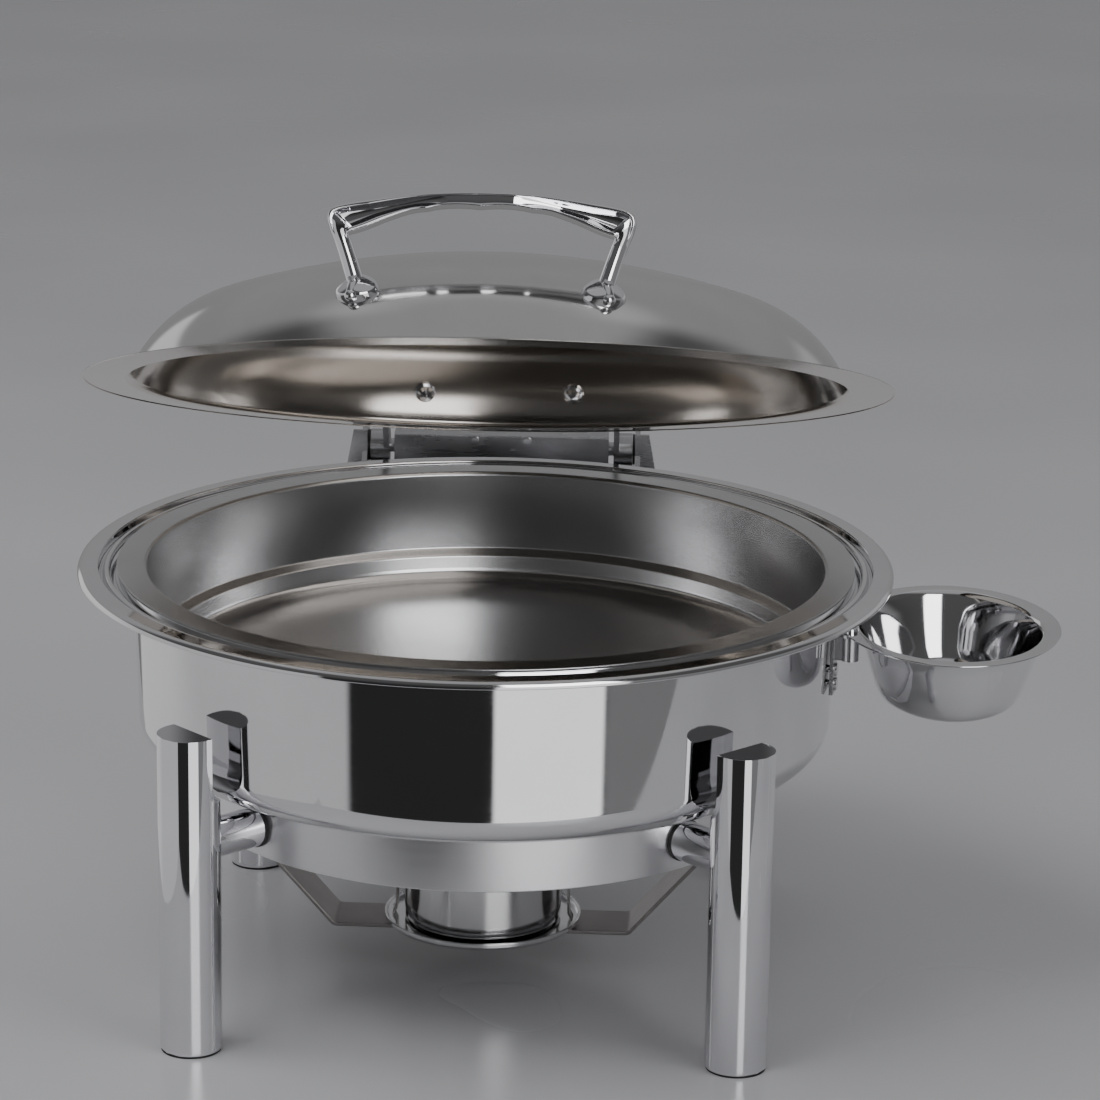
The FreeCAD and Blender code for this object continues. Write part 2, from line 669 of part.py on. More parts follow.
def make_food_pan():
    body = new_body("food_pan")
    t = d.food_sheet
    top = d.food_flange_top
    inner = [(d.food_flange_radius, top), (d.food_mouth, top),
             (d.food_shoulder_radius, d.food_shoulder_top), (d.food_step_radius, d.food_step_height),
             (d.food_floor_radius, d.food_floor), (0, d.food_floor)]
    outer = [(0, d.food_floor - t), (d.food_floor_radius + t, d.food_floor - t),
             (d.food_step_radius + t, d.food_step_height - t),
             (d.food_shoulder_radius + t, d.food_shoulder_top - t),
             (d.food_mouth + t, top - t), (d.food_flange_radius, top - t)]
    revolve(body, outline(sketch_on(body, "XZ_Plane"), inner + outer))
    round_edges(body, d.food_corner, circles_at((d.food_floor_radius, d.food_floor)))
    round_edges(body, d.food_corner + t, circles_at((d.food_floor_radius + t, d.food_floor - t)))
    round_edges(body, 1.8, circles_at((d.food_mouth, top), (d.food_step_radius, d.food_step_height),
                                      (d.food_shoulder_radius, d.food_shoulder_top)))
    round_edges(body, 0.4, circles_at((d.food_flange_radius, top)))
    keep(body, "food_pan")


# === lid ========================================================================================

def dome_profile(sketch, shrink):
    """Crown and side arcs of the dome, drawn shrink inside the outer skin; returns the two arcs."""
    crown_radius = d.crown_radius - shrink
    crown_edge = d.crown_edge * crown_radius / d.crown_radius
    tilt = math.degrees(math.asin(crown_edge.value / crown_radius.value))
    crown = arc(sketch, 0, d.crown_height - d.crown_radius, crown_radius, 90 - tilt, 90)
    sketch.addConstraint(Sketcher.Constraint("PointOnObject", crown, END, Y_AXIS))
    bind(sketch, Sketcher.Constraint("DistanceX", ORIGIN, 1, crown, START, crown_edge.value), crown_edge)
    centre = Vector(side_centre.value, side_level.value, 0)
    circle = Part.Circle(centre, Vector(0, 0, 1), number(d.side_radius - shrink))
    rise = math.asin(-side_level.value / number(d.side_radius - shrink))
    side = sketch.addGeometry(Part.ArcOfCircle(circle, rise, math.radians(90 - tilt)))
    bind(sketch, Sketcher.Constraint("Radius", side, number(d.side_radius - shrink)), d.side_radius - shrink)
    sketch.addConstraint(Sketcher.Constraint("Tangent", crown, START, side, END))
    return crown, side


def make_lid():
    body = new_body("lid_dome")
    sketch = sketch_on(body, "XZ_Plane", y=d.lid_seat)
    outer_crown, outer_side = dome_profile(sketch, Size(0, "0"))
    inner_crown, inner_side = dome_profile(sketch, d.lid_sheet)
    edge_low = Vector(number(d.lid_flange_radius), 0, 0)
    edge_high = edge_low + Vector(0, number(d.lid_sheet), 0)
    edge = sketch.addGeometry(Part.LineSegment(edge_low, edge_high))
    fix_point(sketch, edge, START, d.lid_flange_radius, 0)
    fix_point(sketch, edge, END, d.lid_flange_radius, d.lid_sheet)
    join(sketch, inner_side, START, edge, START)
    join(sketch, edge, END, outer_side, START)
    join(sketch, outer_crown, END, inner_crown, END)
    for side, height in ((inner_side, None), (outer_side, d.lid_sheet)):
        if height is None:
            sketch.addConstraint(Sketcher.Constraint("PointOnObject", side, START, X_AXIS))
        else:
            bind(sketch, Sketcher.Constraint("DistanceY", ORIGIN, 1, side, START, number(height)), height)
    revolve(body, sketch)
    drills = [drill(f"lid_drill_{name}", d.stud_radius, 12, place) for name, place in lid_stud_poses.items()]
    keep(lid_pose.give_to(boolean_cut("lid_dome", body, drills)), "lid_dome")


def dome_point(lift):
    """Radius and height on the outer skin where its normal is raised by lift degrees."""
    return (side_centre + d.side_radius * cosine(lift),
            d.lid_seat + side_level + d.side_radius * sine(lift))


def make_handle():
    """Cast bow handle: two posts under a waisted grip, on flared feet shaped to the dome."""
    body = new_body("handle")
    sketch = sketch_on(body, "XZ_Plane", y=d.lid_seat, z=-d.handle_y)
    half = [
        (d.handle_foot_outer, 22), (d.handle_half - 2, d.handle_end_top - 10),
        (d.handle_half, d.handle_end_top - 3), (d.handle_half - 3, d.handle_end_top + 1),
        (d.handle_half * 0.55, d.handle_top - 3), (d.handle_half * 0.2, d.handle_top)]
    under = [
        (d.handle_half * 0.2, d.handle_under), (d.handle_half * 0.42, d.handle_under - 1),
        (d.handle_post_inner, d.handle_end_top - 11), (d.handle_foot_inner, 22)]
    right = half + [(-x, y) for x, y in reversed(half)]
    left = [(-x, y) for x, y in reversed(under)]
    outline(sketch, right + left + under)
    pad(body, sketch, d.handle_depth, symmetric=True)
    round_edges(body, d.handle_round, handle_grip_edge)
    feet = []
    for side in (-1, 1):
        radius, height = dome_point(d.foot_lift)
        foot = doc.addObject("Part::Cone", "handle_foot")
        foot.Radius1 = number(d.foot_pad_radius)
        foot.setExpression("Radius1", d.foot_pad_radius.text)
        foot.Radius2 = number(d.foot_pad_radius) * 0.6
        foot.setExpression("Radius2", (d.foot_pad_radius * 0.6).text)
        foot.Height = number(d.foot_pad_height) + 4
        foot.setExpression("Height", (d.foot_pad_height + 4).text)
        place = radial_pose(radius, -90 + side * d.foot_azimuth, height, d.foot_lift)
        feet.append((place * pose(z=-4)).give_to(foot))
    whole = doc.addObject("Part::MultiFuse", "handle_whole")
    whole.Shapes = [body] + feet

    block = new_body("dome_block")
    solid = sketch_on(block, "XZ_Plane", y=d.lid_seat)
    crown, side = dome_profile(solid, Size(0, "0"))
    solid.addConstraint(Sketcher.Constraint("PointOnObject", side, START, X_AXIS))
    floor = solid.addGeometry(Part.LineSegment(solid.getPoint(side, START), Vector(0, 0, 0)))
    solid.addConstraint(Sketcher.Constraint("Coincident", floor, START, side, START))
    solid.addConstraint(Sketcher.Constraint("Coincident", floor, END, ORIGIN, 1))
    axis = solid.addGeometry(Part.LineSegment(Vector(0, 0, 0), solid.getPoint(crown, END)))
    solid.addConstraint(Sketcher.Constraint("Coincident", axis, START, floor, END))
    solid.addConstraint(Sketcher.Constraint("Coincident", axis, END, crown, END))
    revolve(block, solid)
    holes = [drill(f"handle_drill_{name}", d.stud_radius, 24, lid_stud_poses[name])
             for name in ("foot_left", "foot_right")]
    cut = boolean_cut("lid_handle", whole, [block] + holes)
    keep(lid_pose.give_to(cut), "lid_handle")


def handle_grip_edge(edge):
    """The long edges of the grip and posts, front and back, above the dome."""
    low = edge.BoundBox.ZMin > number(d.lid_seat) + 21.9
    depth = abs(edge.BoundBox.YMax - edge.BoundBox.YMin)
    return low and depth < 1e-6 and edge.BoundBox.ZMax > number(d.lid_seat) + 22.1


def make_lid_fasteners():
    for name, place in lid_stud_poses.items():
        if name.startswith("foot"):
            screw = pin_body("handle_screw_" + name[5:], 4.6, 2.4, d.stud_radius - 0.1, 10)
            flip = pose(z=-d.lid_sheet - 0.35) * pose(axis=(1, 0, 0), angle=180)
            keep((lid_pose * place * flip).give_to(screw), "handle_screw_" + name[5:])
            continue
        bolt = pin_body("bracket_bolt_" + name[4:], 4.4, 2.4, d.stud_radius - 0.1, 7.4)
        above = d.bracket_gap + d.bracket_sheet + 0.1
        keep((lid_pose * place * pose(z=above)).give_to(bolt), "bracket_bolt_" + name[4:])
        nut = new_body("acorn_nut_" + name[4:])
        profile = outline(sketch_on(nut, "XZ_Plane"), [
            (d.stud_radius, 0), (d.nut_radius + 0.8, 0), (d.nut_radius + 0.8, 0.8), (d.nut_radius, 0.8),
            (d.nut_radius, 2.6), (d.nut_radius * 0.72, d.nut_height), (0, d.nut_height + 1),
            (0, d.nut_height), (d.stud_radius, 3.8)])
        revolve(nut, profile)
        flip = pose(z=-d.lid_sheet - 0.35) * pose(axis=(1, 0, 0), angle=180)
        keep((lid_pose * place * flip).give_to(nut), "acorn_nut_" + name[4:])


def make_lid_bracket():
    """Strip wrapped on the back of the dome, with two arms down to knuckles on the hinge pin."""
    body = new_body("lid_hinge_bracket")
    sketch = sketch_on(body, "YZ_Plane", y=d.lid_seat)
    near = d.side_radius + d.bracket_gap
    inner = arc(sketch, side_centre, side_level, near, number(d.bracket_low), number(d.bracket_high))
    outer = arc(sketch, side_centre, side_level, near + d.bracket_sheet,
                number(d.bracket_low), number(d.bracket_high))
    for which, angle in ((START, d.bracket_low), (END, d.bracket_high)):
        x = side_centre + near * cosine(angle)
        bind(sketch, Sketcher.Constraint("DistanceX", ORIGIN, 1, inner, which, x.value), x)
        x = side_centre + (near + d.bracket_sheet) * cosine(angle)
        bind(sketch, Sketcher.Constraint("DistanceX", ORIGIN, 1, outer, which, x.value), x)
        join(sketch, inner, which, outer, which)
    revolve(body, sketch, angle=d.bracket_wrap)
    back, height = d.hinge_back, d.hinge_height
    arm = outline(sketch_on(body, "YZ_Plane", z=d.knuckle_inside), [
        (back - 70, height + 7.8), (back - 27, height + 7.8), (back - 9, height - 3),
        (back + 3, height + 8.9), (back - 24, height + 21), (back - 79.6, height + 27)])
    arm_pad = pad(body, arm, d.arm_sheet)
    knuckle = disc(sketch_on(body, "YZ_Plane", z=d.knuckle_inside), d.knuckle_radius, x=back, y=height)
    knuckle_pad = pad(body, knuckle, d.knuckle_outside - d.knuckle_inside)
    mirror_across(body, "YZ_Plane", [arm_pad, knuckle_pad])
    bore = disc(sketch_on(body, "YZ_Plane"), d.hinge_pin + d.running_gap, x=back, y=height)
    pocket(body, bore, d.knuckle_outside * 3, symmetric=True)
    drills = [drill(f"bracket_drill_{name}", d.stud_radius, 12, place)
              for name, place in lid_stud_poses.items() if name.startswith("nut")]
    keep(lid_pose.give_to(boolean_cut("lid_hinge_bracket", body, drills)), "lid_hinge_bracket")


# === hinge on the water pan =====================================================================

def make_hinge_base():
    """Wrap riveted to the pan's back wall, shelf behind the rim and two ears for the pin."""
    body = new_body("hinge_base_bracket")
    wrap = sketch_on(body, "YZ_Plane")
    box_outline(wrap, d.base_wrap_inner, d.base_wrap_bottom, d.base_wrap_inner + d.base_sheet,
                d.base_floor + d.base_sheet)
    revolve(body, wrap, angle=d.base_wrap)
    ear_outside = d.ear_inside + d.ear_sheet
    shelf = sketch_on(body, "XY_Plane", z=d.base_floor)
    box_outline(shelf, -ear_outside - 8, 166, ear_outside + 8, d.base_back)
    pad(body, shelf, d.base_sheet)
    pocket(body, disc(sketch_on(body, "XY_Plane", z=d.base_floor - 1), d.base_wrap_inner), 6)
    back, height = d.hinge_back, d.hinge_height
    front = d.housing_front - 4.5
    ear = outline(sketch_on(body, "YZ_Plane", z=d.ear_inside), [
        (front - 12, d.base_floor + 1), (d.base_back, d.base_floor + 1), (d.base_back, height + 5),
        (back + 7, height + 12.5), (front, height + 12.5), (front, height)])
    ear_pad = pad(body, ear, d.ear_sheet)
    flange = outline(sketch_on(body, "XZ_Plane", z=-front - 2.5), [
        (ear_outside - 1, d.base_floor + 1), (ear_outside + 10, d.base_floor + 1),
        (ear_outside + 5, height + 12.5), (ear_outside - 1, height + 12.5)])
    flange_pad = pad(body, flange, 2.5)
    mirror_across(body, "YZ_Plane", [ear_pad, flange_pad])
    pin_hole = disc(sketch_on(body, "YZ_Plane"), d.hinge_pin, x=back, y=height)
    pocket(body, pin_hole, d.pin_half * 3, symmetric=True)
    drills = [drill(f"base_drill_{side}", d.screw_radius, 16, hinge_rivet_pose(d.base_wrap_inner, side))
              for side in (-1, 1)]
    keep(boolean_cut("hinge_base_bracket", body, drills), "hinge_base_bracket")
    for side, word in ((-1, "right"), (1, "left")):
        rivet = pin_body("hinge_rivet_" + word, d.screw_head, 1.8, d.screw_radius, 5.4)
        place = hinge_rivet_pose(d.base_wrap_inner + d.base_sheet + 0.2, side)
        keep(place.give_to(rivet), "hinge_rivet_" + word)


def make_hinge_parts():
    back, height = d.hinge_back, d.hinge_height
    pin = new_body("hinge_pin")
    pad(pin, disc(sketch_on(pin, "YZ_Plane"), d.hinge_pin, x=back, y=height), d.pin_half * 2, symmetric=True)
    head = disc(sketch_on(pin, "YZ_Plane", z=d.pin_half), d.pin_head, x=back, y=height)
    head_pad = pad(pin, head, d.pin_head_height)
    mirror_across(pin, "YZ_Plane", [head_pad])
    keep(pin, "hinge_pin")

    washers = new_body("friction_washers")
    ring = sketch_on(washers, "YZ_Plane", z=d.knuckle_outside + 0.1)
    disc(ring, d.knuckle_radius - 0.5, x=back, y=height)
    disc(ring, d.hinge_pin + d.running_gap, x=back, y=height)
    pad(washers, ring, d.ear_inside - d.knuckle_outside - 0.2)
    mirror_across(washers, "YZ_Plane")
    keep(washers, "friction_washers")

    housing = new_body("hinge_housing")
    t = d.housing_sheet
    low, high = d.housing_floor, d.housing_floor + d.housing_height
    near, far = d.housing_front, d.housing_front + d.housing_depth
    box = sketch_on(housing, "YZ_Plane")
    box_outline(box, near, low, far, high)
    box_outline(box, near + t, low + t, far - t, high - t)
    pad(housing, box, d.housing_half * 2, symmetric=True)
    round_edges(housing, 1.2, lambda edge: lines_along((1, 0, 0))(edge)
                and edge.BoundBox.Center.z > high.value - 0.1)
    holes = disc(sketch_on(housing, "XZ_Plane", z=-near), 1.6, x=15.2, y=high - 3.4)
    hole_cut = pocket(housing, holes, 8, symmetric=True)
    mirror_across(housing, "YZ_Plane", [hole_cut])
    keep(housing, "hinge_housing")

    screws = new_body("housing_screws")
    shank = disc(sketch_on(screws, "XZ_Plane", z=-near), 1.6, x=15.2, y=high - 3.4)
    pad(screws, shank, 5, reverse=True)
    heads = disc(sketch_on(screws, "XZ_Plane", z=-near), 2.3, x=15.2, y=high - 3.4)
    pad(screws, heads, 1.4)
    mirror_across(screws, "YZ_Plane")
    keep(screws, "housing_screws")

    barrel = new_body("damper_barrel")
    tube = sketch_on(barrel, "YZ_Plane")
    disc(tube, d.damper_barrel, x=back, y=height - 1)
    disc(tube, d.hinge_pin, x=back, y=height)
    pad(barrel, tube, d.damper_half * 2, symmetric=True)
    keep(barrel, "damper_barrel")


# === side bowl ==================================================================================

def ellipse_ring(name, half_width, half_length, height):
    """An upright ellipse outline whose longer axis runs front to back."""
    ring = doc.addObject("Part::Ellipse", name)
    ring.MajorRadius = number(half_length)
    ring.setExpression("MajorRadius", formula(half_length))
    ring.MinorRadius = number(half_width)
    ring.setExpression("MinorRadius", formula(half_width))
    return pose(x=d.bowl_x, y=d.bowl_y, z=height, angle=90).give_to(ring)


def bowl_solid(name, shrink, low, high):
    """Tapered oval block with a rounded foot, between two heights."""
    loft = doc.addObject("Part::Loft", name + "_loft")
    loft.Sections = [
        ellipse_ring(name + "_foot", d.bowl_foot_half_width - shrink, d.bowl_foot_half_length - shrink, low),
        ellipse_ring(name + "_mouth", d.bowl_half_width - d.bowl_flange - shrink,
                     d.bowl_half_length - d.bowl_flange - shrink, high)]
    loft.Solid = True
    doc.recompute()
    rounded = doc.addObject("Part::Fillet", name + "_rounded")
    rounded.Base = loft
    radius = number(d.bowl_corner) - number(shrink)
    rounded.Edges = [(index, radius, radius) for index, edge in enumerate(loft.Shape.Edges, start=1)
                     if edge.BoundBox.ZMax < number(low) + 0.01]
    doc.recompute()
    return rounded


def make_bowl():
    foot = d.bowl_rim - d.bowl_depth
    under = d.bowl_rim - d.bowl_sheet
    outer = bowl_solid("bowl_outer", Size(0, "0"), foot, under)
    inner = bowl_solid("bowl_inner", d.bowl_sheet, foot + d.bowl_sheet, d.bowl_rim)
    flange = doc.addObject("Part::Extrusion", "bowl_flange_plate")
    flange.Base = ellipse_ring("bowl_flange_edge", d.bowl_half_width, d.bowl_half_length, under)
    flange.Dir = Vector(0, 0, 1)
    flange.LengthFwd = number(d.bowl_sheet)
    flange.setExpression("LengthFwd", d.bowl_sheet.text)
    flange.Solid = True
    whole = doc.addObject("Part::MultiFuse", "bowl_whole")
    whole.Shapes = [outer, flange]
    pin_hole = drill("bowl_pin_drill", d.bowl_pin, 10, pose(x=d.pivot_x, y=d.pivot_y, z=under))
    keep(boolean_cut("side_bowl", whole, [inner, pin_hole]), "side_bowl")

    arm = new_body("bowl_arm")
    plate = sketch_on(arm, "XY_Plane", z=under - d.arm_plate)
    box_outline(plate, d.pivot_x, d.pivot_y - 6, d.bowl_x - d.bowl_half_width + 8, d.pivot_y + 9)
    pad(arm, plate, d.arm_plate)
    eye = disc(sketch_on(arm, "XY_Plane", z=under - d.arm_plate), 6, x=d.pivot_x, y=d.pivot_y)
    pad(arm, eye, d.arm_plate)
    hole = disc(sketch_on(arm, "XY_Plane", z=under - d.arm_plate), d.bowl_pin, x=d.pivot_x, y=d.pivot_y)
    pocket(arm, hole, d.arm_plate)
    keep(arm, "bowl_arm")

    pin = pin_body("bowl_pin", 4, 1.6, d.bowl_pin, 16.6)
    keep(pose(x=d.pivot_x, y=d.pivot_y, z=d.bowl_rim + 0.05).give_to(pin), "bowl_pin")


def make_bowl_bracket():
    """Curved plate riveted to the pan's side wall, with a sleeve for the bowl's pin."""
    body = new_body("bowl_bracket")
    reach = d.bracket_plate_inner + d.bracket_plate_sheet
    plate = sketch_on(body, "XZ_Plane")
    box_outline(plate, d.bracket_plate_inner, d.bracket_plate_bottom, reach, d.sleeve_top)
    revolve(body, plate, angle=Size(4, "4"))
    sleeve_x = root(d.pivot_x * d.pivot_x + d.pivot_y * d.pivot_y)
    lug = sketch_on(body, "XY_Plane", z=d.sleeve_bottom)
    box_outline(lug, reach - 1, -2.2, sleeve_x, 2.2)
    pad(body, lug, d.sleeve_top - d.sleeve_bottom)
    sleeve = disc(sketch_on(body, "XY_Plane", z=d.sleeve_bottom), d.sleeve_radius, x=sleeve_x)
    pad(body, sleeve, d.sleeve_top - d.sleeve_bottom)
    bore = disc(sketch_on(body, "XY_Plane", z=d.sleeve_bottom - 1), d.bowl_pin + d.running_gap, x=sleeve_x)
    pocket(body, bore, 40)
    for height in bowl_rivet_heights:
        hole = disc(sketch_on(body, "YZ_Plane"), 2, y=height)
        pocket(body, hole, 200)
    keep(bowl_bracket_pose.give_to(body), "bowl_bracket")

    rivets = new_body("bowl_bracket_rivets")
    for height in bowl_rivet_heights:
        pad(rivets, disc(sketch_on(rivets, "YZ_Plane", z=reach), 2, y=height), 4.6, reverse=True)
        pad(rivets, disc(sketch_on(rivets, "YZ_Plane", z=reach), 3.4, y=height), 1.2)
    keep(bowl_bracket_pose.give_to(rivets), "bowl_bracket_rivets")


# --- shared places ------------------------------------------------------------------------------

# centre of the dome's side arc: radius from the axis, and level against the closed lid's flange
side_reach = d.crown_radius - d.side_radius
side_centre = d.crown_edge * side_reach / d.crown_radius
side_level = (d.crown_height - d.crown_radius
              + side_reach * root(1 - d.crown_edge * d.crown_edge / (d.crown_radius * d.crown_radius)))

pivot_azimuth = Size(math.degrees(math.atan2(number(d.pivot_y), number(d.pivot_x))),
                     "(atan(Dims.pivot_y / Dims.pivot_x) / 1 deg)")
bowl_bracket_pose = pose(angle=pivot_azimuth)
bowl_rivet_heights = [d.bracket_plate_bottom + 4.5, d.bracket_plate_bottom + 12.5]

nut_radius_at, nut_height_at = dome_point(d.nut_lift)
foot_radius_at, foot_height_at = dome_point(d.foot_lift)
lid_stud_poses = {
    "nut_right": radial_pose(nut_radius_at, 90 - d.nut_azimuth, nut_height_at, d.nut_lift),
    "nut_left": radial_pose(nut_radius_at, 90 + d.nut_azimuth, nut_height_at, d.nut_lift),
    "foot_left": radial_pose(foot_radius_at, -90 - d.foot_azimuth, foot_height_at, d.foot_lift),
    "foot_right": radial_pose(foot_radius_at, -90 + d.foot_azimuth, foot_height_at, d.foot_lift),
}

# --- build --------------------------------------------------------------------------------------

for corner, azimuth in LEG_AZIMUTHS.items():
    make_leg(corner, azimuth)
make_leg_plugs()
make_foot_glides()
make_ring()
make_stubs()
make_stub_bolts()
make_strap()
make_burner_holder()
make_burner()
make_water_pan()
make_food_pan()
make_hinge_base()
make_hinge_parts()
make_bowl_bracket()
make_bowl()
make_lid()
make_lid_bracket()
make_handle()
make_lid_fasteners()
doc.recompute()

# --- check and write ----------------------------------------------------------------------------

for item in doc.Objects:
    if "Invalid" in item.State or "Error" in item.State:
        raise RuntimeError(f"{item.Label} failed to build: {item.State}")
for item in subparts:
    if item.Shape.isNull() or not item.Shape.isValid() or not item.Shape.Solids:
        raise RuntimeError(f"{item.Label} has no valid solid")
    item.Shape.exportStep(f"parts/{item.Label}.step")
    box = item.Shape.BoundBox
    print(f"{item.Label:24s} {len(item.Shape.Solids)} solid(s) {item.Shape.Volume / 1000:9.2f} cm3 "
          f"z {box.ZMin:.1f} to {box.ZMax:.1f}")
print(len(subparts), "nodes")
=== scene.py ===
"""Looks of the round chafing dish: polished shells, cast handle, tube legs, burner and hinge.

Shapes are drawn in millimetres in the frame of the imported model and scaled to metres.
"""

import json
import math

import bmesh
import bpy
from mathutils import Matrix, Vector


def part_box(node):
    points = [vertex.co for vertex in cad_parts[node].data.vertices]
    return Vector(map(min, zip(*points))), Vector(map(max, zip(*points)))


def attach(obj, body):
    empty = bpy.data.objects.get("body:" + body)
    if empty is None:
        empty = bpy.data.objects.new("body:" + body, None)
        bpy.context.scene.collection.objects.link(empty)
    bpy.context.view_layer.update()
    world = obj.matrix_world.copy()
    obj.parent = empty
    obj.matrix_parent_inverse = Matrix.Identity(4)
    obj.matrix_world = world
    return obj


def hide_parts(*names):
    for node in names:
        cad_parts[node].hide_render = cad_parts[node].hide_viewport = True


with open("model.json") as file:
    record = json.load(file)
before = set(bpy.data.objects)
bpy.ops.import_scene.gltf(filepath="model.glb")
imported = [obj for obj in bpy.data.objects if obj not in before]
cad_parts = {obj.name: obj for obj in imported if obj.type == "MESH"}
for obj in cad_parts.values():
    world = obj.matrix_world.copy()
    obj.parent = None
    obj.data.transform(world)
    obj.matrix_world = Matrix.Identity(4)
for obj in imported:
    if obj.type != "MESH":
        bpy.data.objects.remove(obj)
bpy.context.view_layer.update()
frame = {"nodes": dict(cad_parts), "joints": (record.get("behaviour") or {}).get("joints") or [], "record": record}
nodes = frame["nodes"]

MM = 0.001
STAND_TURN = -2  # degrees about the pan's axis
LID_SEAT = 227   # height of the closed lid's flange
LID_HINGE = next(joint for joint in frame["joints"] if joint["name"] == "lid_hinge")
LID_OPEN = -LID_HINGE["range_deg"][0]  # from closed, the hinge's lower limit, to rest


# --- mesh helpers -------------------------------------------------------------------------------

def move(x=0, y=0, z=0):
    return Matrix.Translation((x, y, z))


def turn(degrees, axis="Z"):
    return Matrix.Rotation(math.radians(degrees), 4, axis)


def clamp(value):
    return max(0, min(1, value))


def corners(node):
    """Lowest and highest corner of a CAD node, in millimetres."""
    return [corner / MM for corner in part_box(node)]


PIVOT = Vector(LID_HINGE["pos_m"]) / MM
LID = move(*PIVOT) @ turn(-LID_OPEN, "X") @ move(*-PIVOT) @ move(z=LID_SEAT)
STAND = turn(STAND_TURN)
BEVEL_ANGLE = 35    # edges that turn by more degrees than this are softened
ARC_STEP = 10       # degrees for each chord of a rounded corner
STRAIGHT = 88.5     # half angle above which a corner counts as no corner
ON_AXIS = 1e-6      # radius below which a lathe point is a pole


def piece(name, verts, faces, body, slot, material, place=Matrix(), replaces=(), bevel=0):
    """A mesh from millimetre vertices, finished and riding on a body."""
    mesh = bpy.data.meshes.new(name)
    mesh.from_pydata([Vector(v) * MM for v in verts], [], faces)
    work = bmesh.new()
    work.from_mesh(mesh)
    bmesh.ops.remove_doubles(work, verts=work.verts, dist=1e-6)
    bmesh.ops.recalc_face_normals(work, faces=work.faces)
    work.to_mesh(mesh)
    work.free()
    for polygon in mesh.polygons:
        polygon.use_smooth = True
    obj = bpy.data.objects.new(name, mesh)
    bpy.context.scene.collection.objects.link(obj)
    scaled = place.copy()
    scaled.translation *= MM
    obj.matrix_world = scaled
    mesh.materials.append(material)
    if bevel:
        edge = obj.modifiers.new("edges", "BEVEL")
        edge.width = bevel * MM
        edge.segments = 3
        edge.limit_method = "ANGLE"
        edge.angle_limit = math.radians(BEVEL_ANGLE)
    normals = obj.modifiers.new("normals", "WEIGHTED_NORMAL")
    normals.weight = 80
    normals.keep_sharp = True
    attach(obj, body)
    for node in replaces:
        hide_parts(node)
    return obj


def rounded(points, closed=True):
    """Path through (x, y, radius) corners, each rounded into short chords."""
    path = []
    count = len(points)
    for index, (x, y, radius) in enumerate(points):
        here = Vector((x, y))
        if radius <= 0 or (not closed and index in (0, count - 1)):
            path.append((x, y))
            continue
        back = (Vector(points[index - 1][:2]) - here).normalized()
        ahead = (Vector(points[(index + 1) % count][:2]) - here).normalized()
        half = math.acos(max(-1, min(1, back.dot(ahead)))) / 2
        if half > math.radians(STRAIGHT):
            path.append((x, y))
            continue
        reach = radius / math.tan(half)
        centre = here + (back + ahead).normalized() * (radius / math.sin(half))
        start = here + back * reach - centre
        sweep = math.pi - 2 * half
        if start.x * ahead.y - start.y * ahead.x < 0:
            sweep = -sweep
        chords = max(2, round(math.degrees(abs(sweep)) / ARC_STEP))
        for chord in range(chords + 1):
            angle = sweep * chord / chords
            path.append((centre.x + start.x * math.cos(angle) - start.y * math.sin(angle),
                         centre.y + start.x * math.sin(angle) + start.y * math.cos(angle)))
    return path


def lathe_mesh(profile, segments=240, closed=False):
    """Vertices and faces of an (r, z) profile turned about Z."""
    verts, rings, faces = [], [], []
    for radius, height in profile:
        if radius < ON_AXIS:
            rings.append([len(verts)])
            verts.append((0, 0, height))
            continue
        rings.append(list(range(len(verts), len(verts) + segments)))
        for index in range(segments):
            angle = 2 * math.pi * index / segments
            verts.append((radius * math.cos(angle), radius * math.sin(angle), height))
    pairs = list(zip(rings, rings[1:] + rings[:1])) if closed else list(zip(rings, rings[1:]))
    for low, high in pairs:
        for index in range(segments):
            after = (index + 1) % segments
            if len(low) == 1 and len(high) == 1:
                continue
            if len(low) == 1:
                faces.append((low[0], high[after], high[index]))
            elif len(high) == 1:
                faces.append((low[index], low[after], high[0]))
            else:
                faces.append((low[index], low[after], high[after], high[index]))
    return verts, faces


def lathe(name, profile, body, slot, material, closed=False, segments=240, **more):
    return piece(name, *lathe_mesh(profile, segments, closed), body, slot, material, **more)


def ring_faces(rings, around, first=0):
    """Quads between each ring of points and the next, from vertex number first on."""
    faces = []
    for ring in range(rings - 1):
        base = first + ring * around
        for index in range(around):
            after = (index + 1) % around
            faces.append((base + index, base + after, base + after + around, base + index + around))
    return faces


def end_caps(rings, around):
    """One face over the first ring and one over the last."""
    return [tuple(reversed(range(around))), tuple(range((rings - 1) * around, rings * around))]


def ribbon_mesh(outer, inner, width):
    """A bent strip between two matching (x, z) lines, centred on y = 0."""
    section = [[(ax, -width / 2, az), (ax, width / 2, az), (bx, width / 2, bz), (bx, -width / 2, bz)]
               for (ax, az), (bx, bz) in zip(outer, inner)]
    verts = [point for corners in section for point in corners]
    faces = [(0, 1, 2, 3), tuple(range(len(verts) - 1, len(verts) - 5, -1))]
    for index in range(len(section) - 1):
        base = index * 4
        for corner in range(4):
            after = (corner + 1) % 4
            faces.append((base + corner, base + after, base + after + 4, base + corner + 4))
    return verts, faces


def merge(*parts):
    """Several (verts, faces, matrix) as one."""
    verts, faces = [], []
    for part_verts, part_faces, matrix in parts:
        base = len(verts)
        verts += [matrix @ Vector(v) for v in part_verts]
        faces += [tuple(base + index for index in face) for face in part_faces]
    return verts, faces


